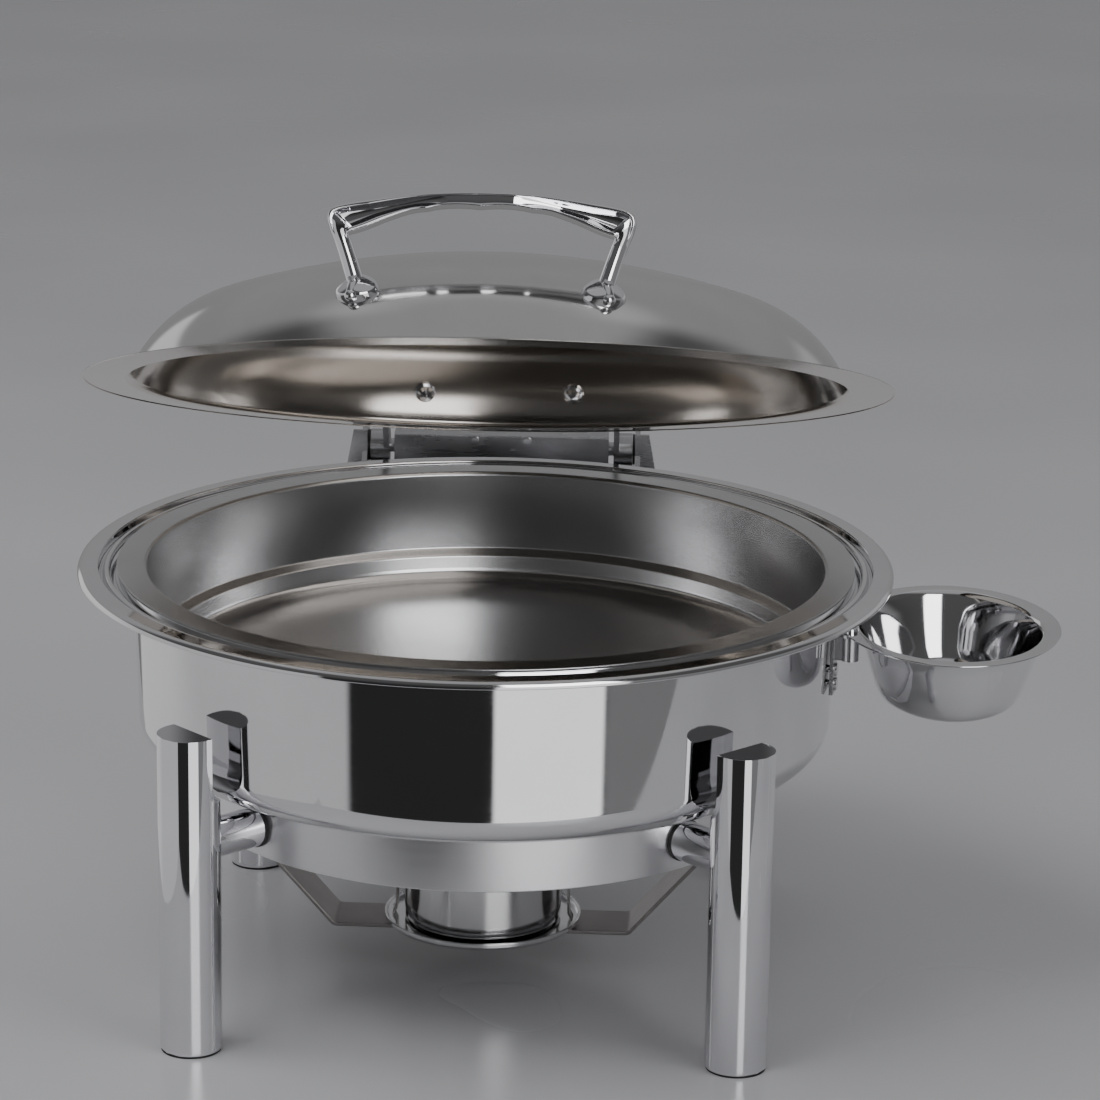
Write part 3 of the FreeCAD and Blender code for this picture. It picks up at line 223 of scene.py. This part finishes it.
def smooth_line(points, count):
    """Points spread along a Catmull-Rom curve through tuples of numbers."""
    ends = [[2 * a - b for a, b in zip(points[0], points[1])]]
    ends += [list(p) for p in points]
    ends += [[2 * a - b for a, b in zip(points[-1], points[-2])]]
    spans = len(points) - 1
    line = []
    for index in range(count):
        place = spans * index / (count - 1)
        span = min(int(place), spans - 1)
        t = place - span
        p0, p1, p2, p3 = ends[span:span + 4]
        line.append([0.5 * (2 * b + (c - a) * t + (2 * a - 5 * b + 4 * c - e) * t * t
                            + (3 * b - a - 3 * c + e) * t ** 3)
                     for a, b, c, e in zip(p0, p1, p2, p3)])
    return line


# --- materials ----------------------------------------------------------------------------------

ANGLE_SCALE = 0.03                  # metres that one radian counts for in round marks
ROUND_GRAIN = (700, 5, 700)         # marks per metre of radius, angle and height
CROSS_GRAIN = (240, 240, 60)        # marks per metre along x, y and z
ALONG_GRAIN = (40, 500, 500)
HAZE_SHARE, GRAIN_SHARE = 0.65, 0.35
# The inside tint is a painted warm reflection on faces that look down.
PAINTED_WARMTH_STEP = 0.05                    # how soon a normal that points down takes the inside tint


class Tree:
    """Adds, sets and links the nodes of one node tree."""

    def __init__(self, tree):
        self.tree = tree

    def add(self, kind, **settings):
        node = self.tree.nodes.new("ShaderNode" + kind)
        for key, value in settings.items():
            setattr(node, key, value)
        return node

    def link(self, source, target):
        self.tree.links.new(source, target)

    def math(self, operation, a, b=0.0):
        node = self.add("Math", operation=operation)
        for socket, value in zip(node.inputs, (a, b)):
            if isinstance(value, (int, float)):
                socket.default_value = value
            else:
                self.link(value, socket)
        return node.outputs[0]

    def step(self, value, start, end):
        """Smooth rise from 0 at start to 1 at end."""
        node = self.add("MapRange", interpolation_type="SMOOTHSTEP")
        node.inputs["From Min"].default_value = start
        node.inputs["From Max"].default_value = end
        self.link(value, node.inputs["Value"])
        return node.outputs["Result"]


class Surface(Tree):
    """One material: its shader, and textures laid out in metres along the object's own axes."""

    def __init__(self, name):
        self.material = bpy.data.materials.new(name)
        self.material.use_nodes = True
        super().__init__(self.material.node_tree)
        self.shader = self.tree.nodes["Principled BSDF"]
        self.coords = self.add("TexCoord").outputs["Object"]

    def noise(self, scale, detail=3, rough=0.5, vector=None, stretch=(1, 1, 1)):
        mapping = self.add("Mapping")
        mapping.inputs["Scale"].default_value = stretch
        self.link(vector or self.coords, mapping.inputs["Vector"])
        node = self.add("TexNoise")
        node.inputs["Scale"].default_value = scale
        node.inputs["Detail"].default_value = detail
        node.inputs["Roughness"].default_value = rough
        self.link(mapping.outputs[0], node.inputs["Vector"])
        return node.outputs["Fac"]

    def spread(self, source, low, high, start=0.3, end=0.7):
        node = self.add("MapRange")
        for key, value in (("From Min", start), ("From Max", end), ("To Min", low), ("To Max", high)):
            node.inputs[key].default_value = value
        self.link(source, node.inputs["Value"])
        return node.outputs["Result"]

    def blend(self, source, first, second, start=0.3, end=0.7):
        ramp = self.add("ValToRGB")
        ramp.color_ramp.elements[0].position = start
        ramp.color_ramp.elements[0].color = (*first, 1)
        ramp.color_ramp.elements[1].position = end
        ramp.color_ramp.elements[1].color = (*second, 1)
        self.link(source, ramp.inputs[0])
        return ramp.outputs[0]

    def bump(self, height, strength, distance):
        node = self.add("Bump")
        node.inputs["Strength"].default_value = strength
        node.inputs["Distance"].default_value = distance
        self.link(height, node.inputs["Height"])
        return node.outputs["Normal"]

    def around(self):
        """Radius, angle and height as a vector, for marks that run round the part."""
        split = self.add("SeparateXYZ")
        self.link(self.coords, split.inputs[0])
        x, y, z = split.outputs
        squares = self.math("ADD", self.math("MULTIPLY", x, x), self.math("MULTIPLY", y, y))
        join = self.add("CombineXYZ")
        self.link(self.math("SQRT", squares), join.inputs[0])
        self.link(self.math("MULTIPLY", self.math("ARCTAN2", y, x), ANGLE_SCALE), join.inputs[1])
        self.link(z, join.inputs[2])
        return join.outputs[0]

    def set(self, **values):
        for key, value in values.items():
            self.shader.inputs[key.replace("_", " ")].default_value = value


def steel(name, dark, light, rough, grain=CROSS_GRAIN, wave=0.00001, anisotropic=0.0, inside=None):
    """Stainless or chrome: smudged tint, gloss that varies with haze and grain, and a slight wave.

    Where inside is given, the faces that look down take that tint: a painted warm reflection.
    """
    n = Surface(name)
    n.set(Metallic=1.0, Anisotropic=anisotropic)
    tint = n.blend(n.noise(scale=14, detail=5, rough=0.6), dark, light)
    # Painted warm reflection: faces whose normal points down take the inside colour.
    if inside:
        facing = n.add("SeparateXYZ")
        n.link(n.add("TexCoord").outputs["Normal"], facing.inputs[0])
        mix = n.add("Mix", data_type="RGBA")
        n.link(n.spread(facing.outputs[2], 1, 0, -PAINTED_WARMTH_STEP, 0.0), mix.inputs[0])
        n.link(tint, mix.inputs[6])
        mix.inputs[7].default_value = (*inside, 1)
        tint = mix.outputs[2]
    n.link(tint, n.shader.inputs["Base Color"])
    haze = n.noise(scale=24)
    lines = n.noise(scale=1, detail=1, vector=n.around() if grain == ROUND_GRAIN else None, stretch=grain)
    mixed = n.math("ADD", n.math("MULTIPLY", haze, HAZE_SHARE), n.math("MULTIPLY", lines, GRAIN_SHARE))
    n.link(n.spread(mixed, *rough, start=0.35, end=0.65), n.shader.inputs["Roughness"])
    swell = n.noise(scale=9, detail=1, rough=0.4)
    n.link(n.bump(swell, strength=1.0, distance=wave), n.shader.inputs["Normal"])
    if anisotropic:
        tangent = n.add("Tangent", direction_type="RADIAL", axis="Z")
        n.link(tangent.outputs[0], n.shader.inputs["Tangent"])
    return n.material


def soft_dark(name, dark, light, rough):
    """Rubber, moulded plastic or gel, with a fine grain."""
    n = Surface(name)
    n.set(Metallic=0.0, IOR=1.5)
    n.link(n.blend(n.noise(scale=40, detail=4), dark, light), n.shader.inputs["Base Color"])
    n.link(n.spread(n.noise(scale=120), *rough), n.shader.inputs["Roughness"])
    grain = n.noise(scale=2400, detail=2)
    n.link(n.bump(grain, strength=0.25, distance=0.0001), n.shader.inputs["Normal"])
    return n.material


MIRROR = steel("mirror_steel", (0.76, 0.76, 0.77), (0.82, 0.82, 0.83), (0.03, 0.07), ROUND_GRAIN,
               wave=0.00006)
# The lid's underside takes a painted warm reflection through inside.
LID_OUT = steel("lid_steel", (0.66, 0.655, 0.65), (0.72, 0.715, 0.71), (0.105, 0.135), ROUND_GRAIN,
                wave=0.00005, inside=(0.70, 0.655, 0.60))
SATIN = steel("satin_steel", (0.58, 0.58, 0.585), (0.64, 0.64, 0.645), (0.205, 0.22), ROUND_GRAIN,
              anisotropic=0.6)
CHROME = steel("chrome_tube", (0.80, 0.80, 0.82), (0.86, 0.86, 0.88), (0.03, 0.06))
CAST = steel("cast_chrome", (0.82, 0.82, 0.84), (0.88, 0.88, 0.90), (0.03, 0.06), wave=0.00002)
BAND = steel("ring_steel", (0.76, 0.76, 0.77), (0.82, 0.82, 0.83), (0.30, 0.36), ROUND_GRAIN,
             wave=0.00002)
STRAP = steel("strap_steel", (0.30, 0.28, 0.27), (0.38, 0.36, 0.35), (0.30, 0.38), ALONG_GRAIN)
HINGE = steel("hinge_steel", (0.44, 0.44, 0.45), (0.52, 0.52, 0.53), (0.22, 0.30), ALONG_GRAIN)
BOLT = steel("fastener_steel", (0.70, 0.70, 0.71), (0.77, 0.77, 0.78), (0.10, 0.18))
CAN = steel("burner_steel", (0.68, 0.68, 0.68), (0.75, 0.75, 0.75), (0.12, 0.17), ROUND_GRAIN)
BOWL = steel("bowl_steel", (0.74, 0.74, 0.75), (0.80, 0.80, 0.81), (0.05, 0.09), wave=0.00006)
BLACK = soft_dark("hinge_black", (0.012, 0.012, 0.013), (0.03, 0.03, 0.032), (0.35, 0.5))
RUBBER = soft_dark("gasket_black", (0.010, 0.010, 0.010), (0.022, 0.022, 0.022), (0.5, 0.65))
GEL = soft_dark("fuel_gel", (0.30, 0.38, 0.60), (0.42, 0.50, 0.70), (0.15, 0.25))
BY_SLOT = {"mirror_steel": MIRROR, "lid_steel": LID_OUT, "satin_steel": SATIN, "chrome_tube": CHROME,
           "cast_chrome": CAST, "ring_steel": BAND, "strap_steel": STRAP, "hinge_steel": HINGE,
           "fastener_steel": BOLT, "burner_steel": CAN, "bowl_steel": BOWL, "hinge_black": BLACK,
           "gasket_black": RUBBER, "fuel_gel": GEL}

for part in frame["record"]["subparts"]:
    mesh = nodes[part["node"]].data
    mesh.materials.clear()
    mesh.materials.append(BY_SLOT[part["material_slot"]])


# --- pans and lid -------------------------------------------------------------------------------

FINE = 360  # segments of the widest shells


def make_water_pan():
    """Deep pan whose rim runs, going out, over a ledge, a channel with a thin ridge, and a bead."""
    low, high = corners("water_pan")
    base, rim, top = low.z, high.x, high.z
    sheet = 1.2
    foot, bend, wall = 183.4, 18, 184.3
    ledge, ledge_top = 193.5, 224
    channel, channel_floor = 204, 219.5
    ridge_in, ridge_out, ridge_top = 198.2, 201.3, 223.7
    bead, bead_drop = 211, 4.3
    shell = rounded([
        (0, base, 0), (foot, base, bend), (wall + sheet, ledge_top - sheet, 0.8),
        (ledge - sheet, ledge_top - sheet, 0.8), (ledge - sheet, channel_floor - sheet, 1.0),
        (channel + sheet, channel_floor - sheet, 1.0), (channel + sheet, top - sheet, 0.6),
        (bead, top - sheet, 0.6), (bead, top - bead_drop, 0.4), (rim, top - bead_drop, 0.6),
        (rim, top, 3.5), (channel, top, 1.0), (channel, channel_floor, 0.8),
        (ridge_out, channel_floor, 0.8), (ridge_out, ridge_top, 1.3), (ridge_in, ridge_top, 1.3),
        (ridge_in, channel_floor, 0.8), (ledge, channel_floor, 0.8), (ledge, ledge_top, 1.0),
        (wall, ledge_top, 1.0), (foot - sheet, base + sheet, bend - sheet),
        (0, base + sheet, 0)], closed=False)
    lathe("pan_shell", shell, "pan", "mirror_steel", MIRROR, segments=FINE, replaces=["water_pan"])


def make_food_pan():
    """Stepped insert of even thickness: mouth, wall, step and floor."""
    low, high = corners("food_pan")
    base, rim, top = low.z, high.x, high.z
    thick = 1
    bends = [(178.5, top, 2.2, 0.9), (175.8, 181, 1.8, 2.4), (171, 178.3, 2.4, 2),
             (168.3, base + thick, 8, 9)]
    tray = rounded([(rim, top - thick, 0.3), (rim, top, 0.45)]
                   + [(radius, height, inner) for radius, height, inner, outer in bends]
                   + [(0, base + thick, 0)], closed=False)
    under = rounded([(0, base, 0)]
                    + [(radius + thick, height - thick, outer)
                       for radius, height, inner, outer in reversed(bends)]
                    + [(rim, top - thick, 0)], closed=False)
    lathe("food_tray", under + tray, "pan", "satin_steel", SATIN, segments=FINE, replaces=["food_pan"])


def dome_line(shrink, base):
    """Dome from the crown's middle down to the flange, drawn shrink inside the outer skin."""
    crown, side, edge, height, steps = 460.5, 74, 143.1, 68.8, 20
    slope = math.asin(edge / crown)
    reach = crown - side
    centre_x = reach * math.sin(slope)
    centre_z = height - crown + reach * math.cos(slope)
    line = []
    for index in range(steps + 1):
        angle = slope * index / steps
        line.append(((crown - shrink) * math.sin(angle),
                     height - crown + (crown - shrink) * math.cos(angle)))
    last = math.acos((base - centre_z) / (side - shrink))
    for index in range(1, steps + 1):
        angle = slope + (last - slope) * index / steps
        line.append((centre_x + (side - shrink) * math.sin(angle),
                     centre_z + (side - shrink) * math.cos(angle)))
    return line


def make_lid():
    sheet, edge = 1, corners("lid_dome")[1].x
    outer = dome_line(0, 3.8)
    inner = dome_line(sheet, 3.0)
    brim = rounded([(*outer[-2], 0), (outer[-1][0] + 1.2, sheet, 4.2), (edge, sheet, 0.45),
                    (edge, 0, 0.45), (inner[-1][0] + 0.9, 0, 4.6), (*inner[-2], 0)], closed=False)
    profile = outer[:-1] + brim[1:-1] + inner[-2::-1]
    lathe("lid_shell", profile, "lid", "lid_steel", LID_OUT, segments=FINE, place=LID,
          replaces=["lid_dome"])


# --- stand --------------------------------------------------------------------------------------

def leg_rows(radius, top):
    """(x, z) rows over a leg's upper end: the ledge that carries the pan, an arc, a face, the top."""
    face, ledge, arc, arc_steps, pitch = -3, 133.3, 13, 12, 2
    side = [(-radius, ledge)]
    for index in range(arc_steps + 1):
        angle = math.pi / 2 * index / arc_steps
        side.append((face - arc + arc * math.sin(angle), ledge + arc - arc * math.cos(angle)))
    side += [(face, top), (radius, top)]
    rows = []
    for start, end in zip(side, side[1:]):
        steps = max(1, round(math.dist(start, end) / pitch))
        rows += [(start[0] + (end[0] - start[0]) * k / steps, start[1] + (end[1] - start[1]) * k / steps)
                 for k in range(steps)]
    return rows + [side[-1]]


def make_leg(corner, azimuth):
    """Capped tube out on the +X axis: the cut seat as a strip, and walls down to a softened foot."""
    circle, radius, across = 197.2, 16, 8
    foot_rings = ((1, 3), (1, 2), (0.985, 1.2), (0.93, 0.8))  # share of the radius, and height
    rows = leg_rows(radius, corners("leg_" + corner)[1].z)
    verts, faces = [], []
    for x, z in rows:
        half = math.sqrt(max(radius ** 2 - x ** 2, 0))
        verts += [(circle + x, half * math.sin(math.pi / 2 * (2 * step / across - 1)), z)
                  for step in range(across + 1)]
    width = across + 1
    for row in range(len(rows) - 1):
        for step in range(across):
            base = row * width + step
            faces.append((base, base + 1, base + width + 1, base + width))
    near = [index * width for index in range(len(rows))]
    far = [index * width + across for index in range(1, len(rows) - 1)]
    previous = near + far[::-1]
    for scale, height in foot_rings:
        ring = list(range(len(verts), len(verts) + len(previous)))
        verts += [(circle + (verts[index][0] - circle) * scale, verts[index][1] * scale, height)
                  for index in previous]
        for index in range(len(ring)):
            after = (index + 1) % len(ring)
            faces.append((previous[index], previous[after], ring[after], ring[index]))
        previous = ring
    faces.append(tuple(previous))
    piece("tube_" + corner, verts, faces, "stand", "chrome_tube", CHROME, bevel=0.5,
          place=STAND @ turn(azimuth), replaces=["leg_" + corner, "leg_end_plugs"])


def make_stand():
    for turns, corner in enumerate(("front_right", "rear_right", "rear_left", "front_left")):
        make_leg(corner, -45 + 90 * turns)
    low, high = corners("stand_ring")
    outer, inner = 155, 153
    band = rounded([(outer, low.z, 0.7), (outer, high.z, 0.7), (inner, high.z, 0.5), (inner, low.z, 0.5)])
    lathe("ring_band", band, "stand", "ring_steel", BAND, closed=True, segments=300, place=STAND,
          replaces=["stand_ring"])


# --- lid handle ---------------------------------------------------------------------------------

def grip_section(across, depth, hollow, soften):
    """Points round the bar, u across it and v along its depth.

    Its front is two rails with a channel between them; soften turns that into a plain oval.
    """
    rail = min(0.46 * across, 2.9)
    lip = across - rail
    front = [(-across, 0), (-across, 0.5), (-across + 0.5, 0.82), (-across + 0.42 * rail, 1),
             (-lip - 0.3, 0.93), (-lip, 0.8)]
    floor = max(0, 1 - 2 * hollow / depth)
    front += [(-lip + 0.25, floor), (0, floor), (lip - 0.25, floor)] + [(-u, v) for u, v in front[::-1]]
    half = []
    for index, (u, v) in enumerate(front):
        angle = math.pi * (1 - index / (len(front) - 1))
        half.append((u + (across * math.cos(angle) - u) * soften,
                     (v + (math.sin(angle) - v) * soften) * depth / 2))
    return [(u, -v) for u, v in half] + [(u, v) for u, v in reversed(half[1:-1])]


def foot_pad(place):
    """Tented shield on the dome, with a toe ridge running down to a ball at its lower edge."""
    rings, around = 12, 56
    half_length, half_width, base, rise, skirt = 9.6, 11.8, 0.4, 6.8, 1.9
    verts = [(0, 0, base + rise)]
    for ring in range(1, rings + 1):
        reach = ring / rings
        for index in range(around):
            angle = 2 * math.pi * index / around
            x, y = half_length * reach * math.cos(angle), half_width * reach * math.sin(angle)
            tent = 1 - 0.62 * math.sqrt((y / half_width) ** 2 + 0.01)
            z = base + rise * tent * math.sqrt(max(0, 1 - reach ** 3.2))
            verts.append((x, y, z - (skirt if ring == rings else 0)))
    faces = [(0, 1 + index, 1 + (index + 1) % around) for index in range(around)]
    faces += ring_faces(rings, around, first=1)
    ball_radius = 3.4
    ball = [(ball_radius * math.cos(angle), ball_radius * math.sin(angle))
            for angle in [math.radians(-90 + 12 * step) for step in range(16)]]
    ridge = [(0, -0.5), (3.1, -0.5), (3.0, 5), (2.7, 9.5), (1.4, 10.8), (0, 11)]
    toe = move(7.6, 0, 2.4)
    return [(verts, faces, place), (*lathe_mesh(ball, 32), place @ toe),
            (*lathe_mesh(ridge, 32), place @ toe @ turn(-68, "Y"))]


def make_grip():
    """Bow swept from foot to foot: each station is an outer (x, z), an inner (x, z) and a depth."""
    front = 160                        # how far the bow stands before the pan's axis
    hollow_from, bar_from = 58, 60     # heights where the channel and the level bar begin
    hollow_end, shallow, deep = 68.4, 1.2, 6.0
    middle_x, deepen_over = 16, 22     # the channel deepens from the middle stretch outwards
    wave_x, wave_pitch = 42, 27        # scallops under the bar: their reach and their spacing
    foot_turn, foot_radius, foot_height, foot_slope = 20.7, 170.9, 29.7, 46.6
    half = [
        (64.2, 26, 55.2, 26, 10), (65.6, 33, 56.6, 33, 9.6), (68.4, 43, 59.8, 43, 9.8),
        (71.8, 53, 63.0, 52.5, 11), (74.6, 60, 64.8, 57, 13.5), (75.6, 66, 64.0, 57.8, 15),
        (72.8, 70.2, 61.0, 58.6, 15), (64, 72.6, 55, 60.8, 15), (50, 74.8, 45, 65.0, 15),
        (36, 76.6, 33, 69.2, 15), (26, 77.6, 24, 71.0, 15), (13, 78.3, 12, 71.6, 15),
        (0, 78.5, 0, 72.0, 15)]
    other = [(-a, b, -c, e, f) for a, b, c, e, f in half[-2::-1]]
    line = smooth_line(half + other, 261)
    verts = []
    for ox, oz, ix, iz, depth in line:
        middle = Vector(((ox + ix) / 2, 0, (oz + iz) / 2))
        reach = Vector((ox - ix, 0, oz - iz)) / 2
        side = reach.normalized()
        hollow = 0.0
        if middle.z > hollow_from:
            outward = clamp((abs(middle.x) - middle_x) / deepen_over)
            hollow = (shallow + (deep - shallow) * outward) * clamp((hollow_end - abs(middle.x)) / 0.8)
        scallop = 0.0
        if abs(middle.x) < wave_x and middle.z > bar_from:
            scallop = 1 - abs(math.sin(math.pi * (middle.x + 1) / wave_pitch))
        soften = clamp((bar_from - middle.z) / 7)
        for u, v in grip_section(reach.length, depth, hollow, soften):
            point = middle + side * u + Vector((0, v, 0))
            if u < 0:
                point.z -= scallop * min(1, -u / reach.length * 1.6)
            verts.append((point.x, point.y - front, point.z))
    rings, around = len(line), len(verts) // len(line)
    pads = []
    for side in (-1, 1):
        pads += foot_pad(turn(-90 + side * foot_turn) @ move(x=foot_radius, z=foot_height)
                         @ turn(90 - foot_slope, "Y"))
    body = merge((verts, ring_faces(rings, around) + end_caps(rings, around), Matrix()), *pads)
    piece("grip", *body, "lid", "cast_chrome", CAST, place=LID, replaces=["lid_handle"])


# --- burner and its holder ----------------------------------------------------------------------

def strap_line(end, shoulder, foot, base, bend):
    """One skin of the strap in (x, z): down from the ring, in to the foot, across and back up."""
    top = corners("burner_strap")[1].z
    half = [(end, top, 0), (end, shoulder, bend), (foot, base, bend)]
    return rounded(half + [(-x, z, radius) for x, z, radius in reversed(half)], closed=False)


def make_strap():
    base, width, plate = corners("burner_strap")[0].z, 32, 2
    strap = ribbon_mesh(strap_line(152, 103.3, 79.8, base, 5),
                        strap_line(152 - plate, 104.2, 78.9, base + plate, 3), width)
    piece("strap_strip", *strap, "stand", "strap_steel", STRAP, bevel=0.4, place=STAND,
          replaces=["burner_strap"])


def make_saucer():
    """Shallow dish on the strap, that the burner stands in."""
    high = corners("burner_saucer")[1]
    floor, lip, edge, sheet = 23.6, high.z, high.x, 1.2
    saucer = rounded([(0, floor, 0), (edge - 2, floor, 2.5), (edge, floor + 2, 1), (edge, lip, 0.5),
                      (edge - sheet, lip, 0.5), (edge - sheet, floor + 2.4, 1),
                      (edge - 2.4, floor + sheet, 1.5), (0, floor + sheet, 0)], closed=False)
    lathe("saucer", saucer, "stand", "strap_steel", BOLT, replaces=["burner_saucer"])


def make_can():
    """Drawn cup with a raised middle to its base and one fine groove below its mouth."""
    low, high = corners("burner_cup")
    wall, groove, bottom, sheet = high.x, 81, low.z, 0.8
    can = rounded([(0, bottom + 0.6, 0), (38, bottom + 0.6, 1), (39.5, bottom, sheet), (wall, bottom, 1.6),
                   (wall, groove - 1, 0.8), (wall - 0.6, groove, 0.8), (wall, groove + 1, 0.8),
                   (wall, high.z, 0.3), (wall - sheet, high.z, 0.3), (wall - sheet, bottom + 1.5, 0.5),
                   (0, bottom + 1.4, 0)], closed=False)
    lathe("can_shell", can, "burner", "burner_steel", CAN, replaces=["burner_cup"])


# --- side bowl ----------------------------------------------------------------------------------

def make_bowl():
    """Oval bowl through level rings, each a half width, half length and height.

    They run out along the underside, over the hemmed flange and back down the inside.
    """
    middle_x, middle_y, around, sheet = 244.5, -23, 192, 1.15
    foot_top, floor_thick, wall_thick = 163, 1.2, 0.5
    skin = [(48.5, 64, 199.8), (46.0, 61.0, 191), (43.0, 57.4, 181), (40.0, 53.8, 172), (38.0, 51.2, 167),
            (36.2, 49.0, 164.2), (33.0, 45.6, 162.2), (28.5, 40.6, 161.2), (20, 31, 161), (7, 11, 161)]
    edge = [(50.5, 66, 199.85), (56.9, 72.4, 199.8), (57.5, 73, 200.2), (57.5, 73, 200.7),
            (56.9, 72.4, 201), (50, 65.5, 200.9), (48.4, 63.9, 200.3)]
    inner = [(width - sheet, length - sheet, height + (floor_thick if height < foot_top else wall_thick))
             for width, length, height in skin[1:]]
    loops = skin[::-1] + edge + [(47.2, 62.6, 198)] + inner
    verts = []
    for width, length, height in loops:
        for index in range(around):
            angle = 2 * math.pi * index / around
            verts.append((middle_x + width * math.cos(angle), middle_y + length * math.sin(angle), height))
    faces = ring_faces(len(loops), around) + end_caps(len(loops), around)
    piece("oval_bowl", verts, faces, "bowl", "bowl_steel", BOWL, replaces=["side_bowl"])


make_water_pan()
make_food_pan()
make_lid()
make_stand()
make_grip()
make_strap()
make_saucer()
make_can()
make_bowl()


# --- stage, light and camera --------------------------------------------------------------------

def floor_material():
    n = Surface("floor")
    n.set(IOR=1.45)
    tint = n.blend(n.noise(scale=3, detail=1), (0.50, 0.50, 0.515), (0.55, 0.55, 0.565))
    n.link(tint, n.shader.inputs["Base Color"])
    n.link(n.spread(n.noise(scale=6, detail=1), 0.22, 0.28), n.shader.inputs["Roughness"])
    return n.material


def make_floor(name, low, high, height, material):
    """Level rectangle in metres, from its low to its high corner."""
    mesh = bpy.data.meshes.new(name)
    mesh.from_pydata([(low[0], low[1], height), (high[0], low[1], height), (high[0], high[1], height),
                      (low[0], high[1], height)], [], [(0, 1, 2, 3)])
    floor = bpy.data.objects.new(name, mesh)
    bpy.context.scene.collection.objects.link(floor)
    mesh.materials.append(material)
    return floor


def make_floors():
    """A table top that the steel mirrors, and a wide floor just under it that it does not mirror."""
    material = floor_material()
    make_floor("floor_near", (-0.375, -0.385), (0.9, 0.9), 0, material)
    make_floor("floor_wide", (-14, -14), (14, 14), -0.0004, material).visible_glossy = False


# Bright panels that polished steel mirrors: azimuth from and to, 0 at the front and 90 at the right,
# elevation from and to, softness of the edge, all in degrees, and brightness.
PANELS = [
    (-155, -43, -60, 12, 1.5, 0.46),
    (5, 41, -60, 8, 1.0, 1.25),
    (7, 39, 8, 46, 1.5, 4.5),
    (41, 150, -60, 12, 3.0, 0.16),
    (115, 200, -20, 62, 12.0, 0.22),
    (-200, -115, -20, 62, 12.0, 0.22),
]
DARK_LEVEL, SKY_LEVEL, CEILING_LEVEL = 0.025, 0.06, 0.26
SKY_RISE, CEILING_RISE = (-8, 30), (46, 62)
COOL_TINT = (0.985, 0.985, 1.0)


def make_world():
    """Even pale surroundings, with panels, a sky and a ceiling in the glossy rays only."""
    world = bpy.data.worlds.new("studio")
    bpy.context.scene.world = world
    world.use_nodes = True
    n = Tree(world.node_tree)
    n.tree.nodes.clear()
    split = n.add("SeparateXYZ")
    n.link(n.add("TexCoord").outputs["Generated"], split.inputs[0])
    x, y, z = split.outputs
    azimuth = n.math("MULTIPLY", n.math("ARCTAN2", x, n.math("MULTIPLY", y, -1.0)), 180 / math.pi)
    height = n.math("MULTIPLY", n.math("ARCSINE", z), 180 / math.pi)

    def window(value, low, high, soft):
        past = n.step(value, high - soft, high + soft)
        return n.math("MULTIPLY", n.step(value, low - soft, low + soft), n.math("SUBTRACT", 1.0, past))

    level = n.math("ADD", n.math("MULTIPLY", n.step(height, *SKY_RISE), SKY_LEVEL), DARK_LEVEL)
    level = n.math("ADD", level, n.math("MULTIPLY", n.step(height, *CEILING_RISE), CEILING_LEVEL))
    for az_low, az_high, el_low, el_high, soft, gain in PANELS:
        across, upward = window(azimuth, az_low, az_high, soft), window(height, el_low, el_high, soft)
        level = n.math("ADD", level, n.math("MULTIPLY", n.math("MULTIPLY", across, upward), gain))
    shade = n.add("CombineColor")
    for socket, tint in zip(shade.inputs, COOL_TINT):
        n.link(n.math("MULTIPLY", level, tint), socket)
    mirrored = n.add("Background")
    n.link(shade.outputs[0], mirrored.inputs["Color"])
    even = n.add("Background")
    even.inputs["Color"].default_value = (0.40, 0.40, 0.41, 1)
    even.inputs["Strength"].default_value = 0.8
    mix = n.add("MixShader")
    n.link(n.add("LightPath").outputs["Is Glossy Ray"], mix.inputs[0])
    n.link(even.outputs[0], mix.inputs[1])
    n.link(mirrored.outputs[0], mix.inputs[2])
    n.link(mix.outputs[0], n.add("OutputWorld").inputs["Surface"])


def area_light(name, location, target, size, power):
    """Soft rectangular light that the steel does not mirror."""
    light = bpy.data.lights.new(name, "AREA")
    light.shape = "RECTANGLE"
    light.size, light.size_y = size
    light.energy = power
    obj = bpy.data.objects.new(name, light)
    bpy.context.scene.collection.objects.link(obj)
    obj.location = location
    obj.rotation_euler = (Vector(target) - Vector(location)).to_track_quat("-Z", "Y").to_euler()
    obj.visible_glossy = False


def make_camera():
    """Camera at the photograph's angle, looking a little down and rolled a little."""
    yaw, pitch, roll = -0.018244, 0.277513, 0.0144046
    place = (0.072357, -2.125885, 0.836414)
    forward = Vector((math.sin(yaw) * math.cos(pitch), math.cos(yaw) * math.cos(pitch), -math.sin(pitch)))
    level = Vector((math.cos(yaw), -math.sin(yaw), 0))
    rise = level.cross(forward)
    right = math.cos(roll) * level + math.sin(roll) * rise
    up = -math.sin(roll) * level + math.cos(roll) * rise
    camera = bpy.data.cameras.new("camera")
    camera.lens = 137.0196
    camera.sensor_width = 36
    camera.clip_end = 50
    obj = bpy.data.objects.new("camera", camera)
    bpy.context.scene.collection.objects.link(obj)
    obj.matrix_world = Matrix.Translation(place) @ Matrix((right, up, -forward)).transposed().to_4x4()
    bpy.context.scene.camera = obj


make_floors()
make_world()
area_light("key", (-1.1, -0.5, 2.2), (0, 0, 0.2), (1.8, 1.4), 26)
area_light("fill", (1.6, -1.2, 1.6), (0, 0, 0.1), (1.4, 1.4), 12)
make_camera()
